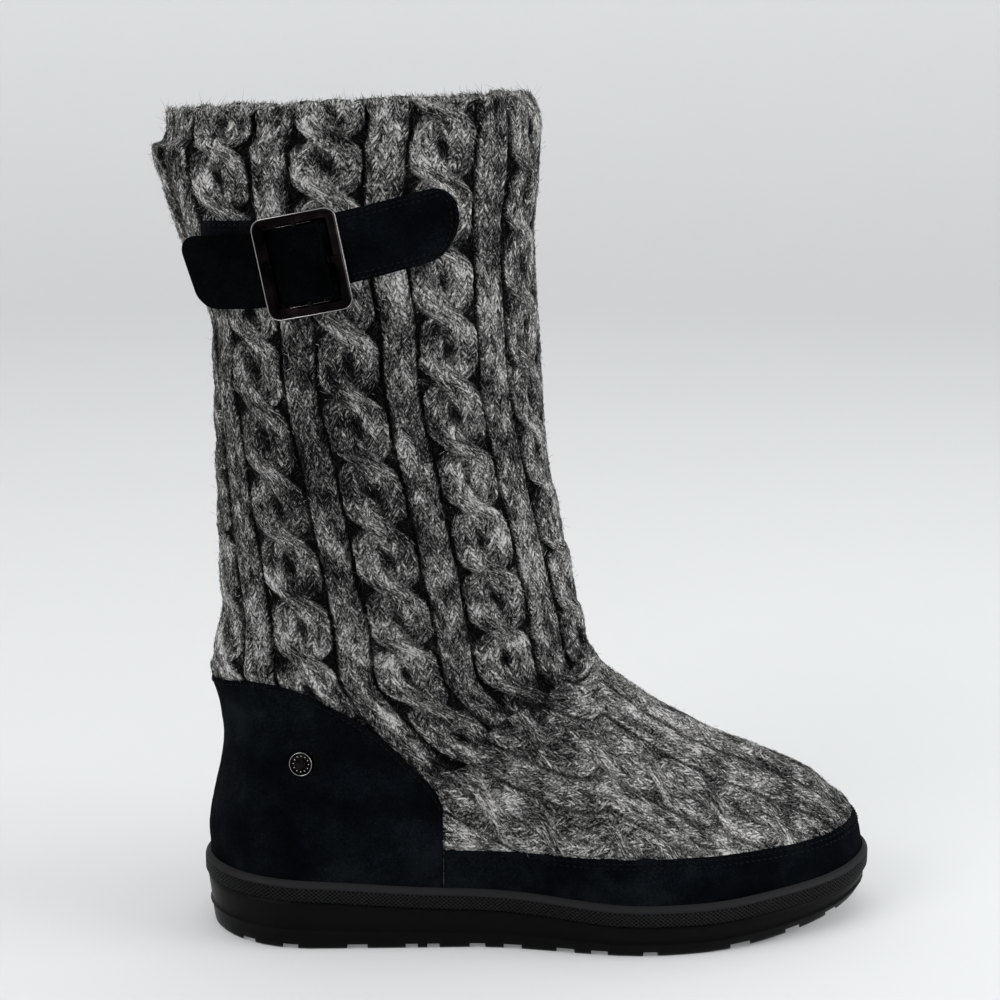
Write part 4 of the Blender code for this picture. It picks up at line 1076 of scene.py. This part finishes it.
def rounded_loop(length, width, corner, steps=9):
    """Points of a rounded rectangle, corner by corner."""
    points = []
    for quarter, (ahead, up) in enumerate(((1.0, 1.0), (-1.0, 1.0), (-1.0, -1.0), (1.0, -1.0))):
        for angle in 0.5 * math.pi * (quarter + np.arange(steps + 1) / steps):
            points.append((ahead * (0.5 * length - corner) + corner * math.cos(angle),
                           up * (0.5 * width - corner) + corner * math.sin(angle)))
    return np.array(points)


def buckle_point(ahead, up, lift):
    """Point at a place in the buckle's own plane, lift above its underside."""
    x = BUCKLE_X + ahead * math.cos(BUCKLE_LEAN) - up * math.sin(BUCKLE_LEAN)
    z = STRAP_HEIGHT + ahead * math.sin(BUCKLE_LEAN) + up * math.cos(BUCKLE_LEAN)
    return outer_side_point(x, z, frame_seat(ahead) + lift)


def tube(middle, side, out, thick):
    """Thin closed wire round a loop of points, with side and out square to it."""
    rings = [middle + thick * (math.cos(angle) * side + math.sin(angle) * out) for angle in HEXAGON]
    return np.concatenate(rings)[None], grid_faces(6, len(middle), wrap=True, closed=True)


def make_buckle_highlight_rims(look):
    """Rounded wires along the frame's outer and inner edges, in a brighter gunmetal that paints their
    highlights.
    """
    tubes = []
    for inset, drop, thick in RIMS:
        corner = max(BUCKLE_CORNER - inset, 0.3 * BUCKLE_CORNER)
        loop = rounded_loop(BUCKLE_LENGTH - 2.0 * inset, BUCKLE_WIDTH - 2.0 * inset, corner)
        closed = np.vstack([loop, loop[:1]])
        loop = sample(closed, np.arange(len(closed)), np.arange(0.0, len(loop), 0.5))
        middle = buckle_point(loop[:, 0], loop[:, 1], BUCKLE_THICKNESS - drop)
        along = unit(np.roll(middle, -1, axis=0) - np.roll(middle, 1, axis=0))
        side = np.cross(along, outer_side_normal(middle[:, 0], middle[:, 2]))
        tubes.append(tube(middle, side, np.cross(side, along), thick))
    add_piece("buckle_highlight_rims", *join(tubes), "gunmetal", look)


def make_stud_beads(look):
    """Plain ring of beads on the stud, inside a polished wire, both in the brighter gunmetal that
    paints highlights.
    """
    turn = turn_at(SOLE_BACK + STUD_PLACE, STUD_LEVEL, -1.0)
    normal = surface_normal(turn, STUD_LEVEL)
    seat = offset_point(turn, STUD_LEVEL, ON_BASE + STUD_SEAT * STUD_RADIUS)
    across = unit(np.cross((0.0, 0.0, 1.0), normal))
    up = np.cross(normal, across)

    def circle(steps):
        angle = 2.0 * math.pi * np.arange(steps)[:, None] / steps
        return np.cos(angle) * across + np.sin(angle) * up

    def ring(steps, place):
        return seat + place[0] * STUD_RADIUS * circle(steps) + place[1] * STUD_HEIGHT * normal

    bead = [BEAD_RADIUS * (level * normal + spread * circle(8))
            for level, spread in ((0.0, 1.0), (0.6, 0.8), (0.95, 0.35))]
    fan = np.array([[0, 1, 2, 3], [0, 3, 4, 5], [0, 5, 6, 7]])
    faces = np.concatenate([grid_faces(3, 8, wrap=True), fan + 16, fan[:, ::-1]])
    beads = ring(BEADS, BEAD_PLACE)[:, None, :] + np.concatenate(bead)
    wire = tube(ring(64, WIRE_PLACE), circle(64), normal, STUD_WIRE)
    add_piece("stud_beads", *join([(beads, faces), wire]), "gunmetal", look)


class Shader:
    """Small helper that builds a node material."""

    NAMES = {"colour": "Base Color", "rough": "Roughness", "metal": "Metallic",
             "normal": "Normal", "sheen": "Sheen Weight", "sheen_rough": "Sheen Roughness",
             "specular": "Specular IOR Level", "glow": "Emission Strength",
             "glow_colour": "Emission Color"}

    def __init__(self, name):
        self.material = bpy.data.materials.new(name)
        self.material.use_nodes = True
        self.tree = self.material.node_tree
        self.surface = self.tree.nodes["Principled BSDF"]

    def node(self, kind, inputs, output, **settings):
        made = self.tree.nodes.new(kind)
        for key, value in settings.items():
            setattr(made, key, value)
        for key, value in inputs.items():
            self.feed(made.inputs[key], value)
        return made.outputs[output]

    def feed(self, target, value):
        if isinstance(value, bpy.types.NodeSocket):
            self.tree.links.new(value, target)
        else:
            target.default_value = value

    def math(self, operation, *values, clamp=False):
        return self.node("ShaderNodeMath", dict(enumerate(values)), 0, operation=operation,
                         use_clamp=clamp)

    def mad(self, value, factor, add, clamp=False):
        return self.math("MULTIPLY_ADD", value, factor, add, clamp=clamp)

    def number(self, name):
        return self.node("ShaderNodeAttribute", {}, "Fac", attribute_name=name)

    def place(self):
        return self.node("ShaderNodeTexCoord", {}, "Object")

    def vector(self, x, y, z=0.0):
        return self.node("ShaderNodeCombineXYZ", {0: x, 1: y, 2: z}, 0)

    def random(self, vector):
        return self.node("ShaderNodeTexWhiteNoise", {"Vector": vector}, "Value",
                         noise_dimensions="2D")

    def noise(self, scale, detail=2.0, rough=0.5, vector=None):
        inputs = {"Vector": vector or self.place(), "Scale": scale, "Detail": detail,
                  "Roughness": rough}
        return self.node("ShaderNodeTexNoise", inputs, "Fac")

    def ramp(self, value, *stops):
        made = self.tree.nodes.new("ShaderNodeValToRGB")
        while len(made.color_ramp.elements) < len(stops):
            made.color_ramp.elements.new(0.5)
        for element, (place, *colour) in zip(made.color_ramp.elements, stops):
            element.position = place
            element.color = (*colour, 1.0)
        self.feed(made.inputs["Fac"], value)
        return made.outputs["Color"]

    def bump(self, height, strength, distance, below=None):
        inputs = {"Strength": strength, "Distance": distance, "Height": height}
        if below is not None:
            inputs["Normal"] = below
        return self.node("ShaderNodeBump", inputs, "Normal")

    def finish(self, **values):
        for key, value in values.items():
            self.feed(self.surface.inputs[self.NAMES[key]], value)
        return self.material


def knit_material():
    """Marled yarn: V stitches with streaks along each leg, light and dark plies, and painted shade in
    the gutters, in the gaps between legs and over the middle of the shaft.
    """
    s = Shader("knit_yarn")
    wale, along, deep = s.number("wale"), s.number("along"), s.number("deep")
    column = s.math("FLOOR", wale)
    frac = s.math("SUBTRACT", wale, column)
    reach = s.math("ABSOLUTE", s.mad(frac, 2.0, -1.0))
    climb = s.mad(along, 0.001 / STITCH_ROW, s.random(s.vector(column, 3.0)))
    climb = s.mad(reach, STITCH_CLIMB, climb)
    row = s.math("FLOOR", climb)
    strand = s.mad(column, 2.0, s.math("GREATER_THAN", frac, 0.5))
    side = s.math("ABSOLUTE", s.mad(s.math("SUBTRACT", climb, row), 2.0, -1.0))
    groove = s.math("POWER", side, 3.0)
    end = s.math("POWER", s.math("ABSOLUTE", s.mad(reach, 2.0, -1.0)), 6.0)
    streaked = s.vector(s.math("MULTIPLY", climb, 4.4), s.math("MULTIPLY", reach, 2.1),
                        s.math("MULTIPLY", strand, 5.3))
    streak = s.noise(1.0, 3.0, 0.65, streaked)
    patched = s.vector(s.math("MULTIPLY", wale, 0.8), s.math("MULTIPLY", along, 0.11))
    # Painted shade: the knit gets darker with the square of its depth, most in the gutters, by an
    # amount that varies with noise.
    broken_gutter_shade = s.math("MINIMUM", s.mad(s.noise(75.0), -2.4, 0.60), -0.15)
    # Painted shade: the knit is darker near that patch's middle.
    away = s.node("ShaderNodeVectorMath", {0: s.place(), 1: SHADED_PLACE}, "Value",
                  operation="DISTANCE")
    # Painted shade: groove and end darken the gaps between stitch rows and between legs; groove also
    # sinks them in the bump.
    layers = ((s.noise(1150.0, 2.0, 0.6), 1.3), (s.random(s.vector(strand, row)), 0.22),
              (s.noise(1.0, vector=patched), 1.15), (s.noise(70.0, 3.0, 0.6), 0.80),
              (groove, -0.18), (end, -0.09), (broken_gutter_shade, s.math("POWER", deep, 2.0)),
              (s.noise(27.0, 1.0), 0.5), (s.mad(away, -1.0 / SHADED_REACH, 1.0, clamp=True), -0.22))
    value = s.mad(streak, 1.8, -2.275)
    for layer, weight in layers:
        value = s.mad(layer, weight, value)
    colour = s.ramp(value, (0.08, 0.0022, 0.0023, 0.0026), (0.30, 0.013, 0.013, 0.0135),
                    (0.50, 0.085, 0.084, 0.083), (0.70, 0.27, 0.265, 0.255), (0.92, 0.56, 0.55, 0.53))
    height = s.mad(streak, 0.8, s.math("MULTIPLY", groove, -0.7))
    return s.finish(colour=colour, rough=0.9, normal=s.bump(height, 0.8, 0.0007), specular=0.05)


def fuzz_material():
    """Fine fibres over the knit, each with its own tone, darker in the gutters as painted shade."""
    s = Shader("knit_fibre")
    colour = s.ramp(s.number("tone"), (0.0, 0.004, 0.004, 0.0045), (0.36, 0.030, 0.030, 0.030),
                    (0.62, 0.22, 0.216, 0.21), (0.88, 0.52, 0.51, 0.49), (1.0, 0.80, 0.79, 0.77))
    return s.finish(colour=colour, rough=0.6, specular=0.12)


def suede_material(name, painted_shade_scale=1.0):
    """Black napped suede with faint mottling; a scale below one makes a darker copy of it as painted
    shade.
    """
    s = Shader(name)
    cloud, nap, brushed = s.noise(60.0, 4.0, 0.6), s.noise(1500.0, 3.0, 0.65), s.noise(22.0, 3.0, 0.55)
    depth = s.mad(cloud, 0.5, s.math("MULTIPLY", brushed, 0.5))
    depth = s.mad(nap, 0.55, s.math("ADD", depth, -0.275))
    tones = ((0.36, 0.0006, 0.0010, 0.0016), (0.50, 0.0019, 0.0027, 0.0038),
             (0.66, 0.0068, 0.0084, 0.0102))
    colour = s.ramp(depth, *((place, *(painted_shade_scale * part for part in tone)) for place, *tone in tones))
    return s.finish(colour=colour, rough=0.95, normal=s.bump(nap, 0.8, 0.0004), specular=0.015)


def thread_material():
    """Black thread, slightly glossier than the suede."""
    s = Shader("black_thread")
    colour = s.ramp(s.noise(1500.0), (0.3, 0.0014, 0.0018, 0.0022), (0.7, 0.0042, 0.0048, 0.0056))
    return s.finish(colour=colour, rough=0.6, specular=0.04)


def metal_material():
    """Polished gunmetal with a faint brown cast."""
    s = Shader("gunmetal_polish")
    colour = s.ramp(s.noise(90.0), (0.36, 0.0012, 0.0011, 0.0014), (0.60, 0.0080, 0.0056, 0.0060),
                    (0.74, 0.022, 0.015, 0.016))
    return s.finish(colour=colour, metal=1.0, rough=0.09)


def highlight_metal_material():
    """Brighter copy of the polished gunmetal, a painted highlight on its edges."""
    return Shader("gunmetal_painted_highlight").finish(colour=(0.33, 0.315, 0.315, 1.0), metal=1.0, rough=0.12)


def rubber_material():
    """Satin black moulded rubber with a fine grain."""
    s = Shader("sole_rubber_black")
    rounded = s.node("ShaderNodeBevel", {"Radius": 0.005}, "Normal", samples=6)
    colour = s.ramp(s.noise(45.0, 4.0), (0.3, 0.0014, 0.0013, 0.0014), (0.7, 0.0024, 0.0022, 0.0023))
    return s.finish(colour=colour, rough=0.36, specular=0.05,
                    normal=s.bump(s.noise(900.0), 0.25, 0.00015, rounded))


def band_material():
    """Dark grey rubber: plain on the ledge, small sunk diamonds on the face below, darkened as painted
    shade.
    """
    s = Shader("knurled_rubber")
    phase, drop = s.number("phase"), s.number("drop")
    grooves = [s.math("ABSOLUTE", s.mad(s.math("FRACT", s.mad(drop, lean, phase)), 2.0, -1.0))
               for lean in (1.15, -1.15)]
    net = s.math("POWER", s.math("MAXIMUM", *grooves), 4.0)
    face = s.math("GREATER_THAN", drop, 1.22 * LEDGE / KNURL_PITCH)
    # Painted shade: near is one in the sunk diamonds, which the ramp makes near black; the ridges
    # between come out lighter than the ledge.
    near = s.math("MULTIPLY", s.math("SUBTRACT", 1.0, net), face)
    shade = s.mad(near, 0.75, s.math("MULTIPLY", face, 0.25))
    colour = s.ramp(shade, (0.0, 0.013, 0.013, 0.014), (0.25, 0.046, 0.046, 0.048),
                    (0.70, 0.0060, 0.0060, 0.0064), (1.0, 0.0005, 0.0005, 0.0006))
    return s.finish(colour=colour, rough=0.5, specular=0.05, normal=s.bump(near, 1.0, -0.0010))


def fleece_material():
    """Soft dark pile of the lining and the footbed."""
    s = Shader("fleece_pile")
    curl, pile = s.noise(260.0, 3.0, 0.6), s.noise(1100.0, 3.0, 0.7)
    shade = s.mad(pile, 0.6, s.mad(curl, 1.2, -0.40))
    colour = s.ramp(shade, (0.25, 0.008, 0.008, 0.009), (0.50, 0.040, 0.040, 0.040),
                    (0.75, 0.13, 0.13, 0.127))
    normal = s.bump(pile, 1.0, 0.0010, s.bump(curl, 1.0, 0.0022))
    return s.finish(colour=colour, rough=0.97, normal=normal, sheen=0.15, sheen_rough=0.6)


def floor_material():
    """Pale paint with painted light: a little brighter up the wall, and a faint glow of its own."""
    s = Shader("floor_paint_with_painted_light")
    height = s.node("ShaderNodeSeparateXYZ", {0: s.place()}, "Z")
    # Painted light: the colour gets brighter with height up the wall.
    rise = s.mad(height, 2.0, s.math("MULTIPLY", s.noise(5.0), 0.1))
    colour = s.ramp(rise, (0.0, 0.520, 0.525, 0.527), (1.0, 0.640, 0.645, 0.647))
    # Painted light: a faint glow, though the floor is no lamp.
    return s.finish(colour=colour, rough=0.9, glow_colour=(0.96, 0.98, 1.0, 1.0), glow=0.15)


def make_floor(look):
    """Pale floor that curves up into a plain wall far all round."""
    bend = np.linspace(0.0, 0.5 * math.pi, 13)
    reach = np.concatenate([[0.0], FLOOR_RADIUS + WALL_BEND * np.sin(bend), [FLOOR_RADIUS + WALL_BEND]])
    rise = np.concatenate([[0.0], WALL_BEND * (1.0 - np.cos(bend)), [WALL_HEIGHT]])[:, None]
    angle = 2.0 * math.pi * np.arange(FLOOR_STEPS) / FLOOR_STEPS
    x, y = np.outer(reach, np.cos(angle)), np.outer(reach, np.sin(angle))
    points = np.stack([x, y, rise + 0.0 * x], axis=-1)
    mesh_object("floor", points, grid_faces(*x.shape, wrap=True), look)


def make_camera():
    """Camera at the photograph's angle."""
    yaw, pitch = math.radians(2.32), math.radians(12.17)
    data = bpy.data.cameras.new("camera")
    data.sensor_width = 36.0
    data.sensor_fit = "HORIZONTAL"
    data.lens = 72.0
    made = link("camera", data)
    made.location = (0.0418, -0.7809, 0.3435)
    made.rotation_euler = (math.radians(90.0) - pitch, 0.0, -yaw)
    bpy.context.scene.camera = made


def add_light(name, place, size, power, colour):
    """Soft square light, aimed at the middle of the boot."""
    data = bpy.data.lights.new(name, "AREA")
    data.size = size
    data.energy = power
    data.color = colour
    made = link(name, data)
    made.location = place
    x, y, z = np.array((0.06, 0.0, 0.16)) - place
    made.rotation_euler = (math.acos(-z / math.hypot(x, y, z)), 0.0, math.atan2(-x, y))


def make_lights():
    """Pale room with a large soft window in front on the left and a fill from above."""
    world = bpy.data.worlds.new("room")
    world.use_nodes = True
    background = world.node_tree.nodes["Background"]
    background.inputs["Color"].default_value = (0.82, 0.83, 0.84, 1.0)
    background.inputs["Strength"].default_value = 1.1
    bpy.context.scene.world = world
    bpy.context.scene.view_settings.view_transform = "Standard"
    add_light("window", (-1.25, -1.0, 1.2), 1.0, 16.0, (1.0, 0.99, 0.97))
    add_light("fill", (1.5, -0.40, 0.70), 0.9, 16.0, (0.98, 0.99, 1.0))
    add_light("ceiling", (0.3, 0.2, 1.7), 1.2, 5.0, (0.97, 0.99, 1.0))


make_camera()
make_floor(floor_material())
make_lights()
make_upper(knit_material(), fuzz_material())
suede, fleece, rim = suede_material("black_suede"), fleece_material(), highlight_metal_material()
make_overlay("suede_counter", "heel_counter", "back", SEAM_X - 0.5 * CLEARANCE, COUNTER_TOP, 160, 60,
             suede)
make_overlay("suede_rand", "toe_rand", "front", SEAM_X + 0.5 * CLEARANCE, RAND_TOP, 320, 20, suede)
# The free strap end is in the same suede darkened as painted shade.
make_straps(suede, suede_material("black_suede_painted_shade", 0.3))
make_sewing(thread_material())
# The buckle's rim wires and the stud's beads take the brighter gunmetal as painted highlights.
make_buckle_highlight_rims(rim)
make_stud_beads(rim)
make_band(band_material())
make_footbed(fleece)
make_lining(fleece)
metal = metal_material()
for name, look in (("buckle_frame", metal), ("buckle_prong", metal), ("counter_stud", metal),
                   ("outsole", rubber_material())):
    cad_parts[name].data.materials[0] = look
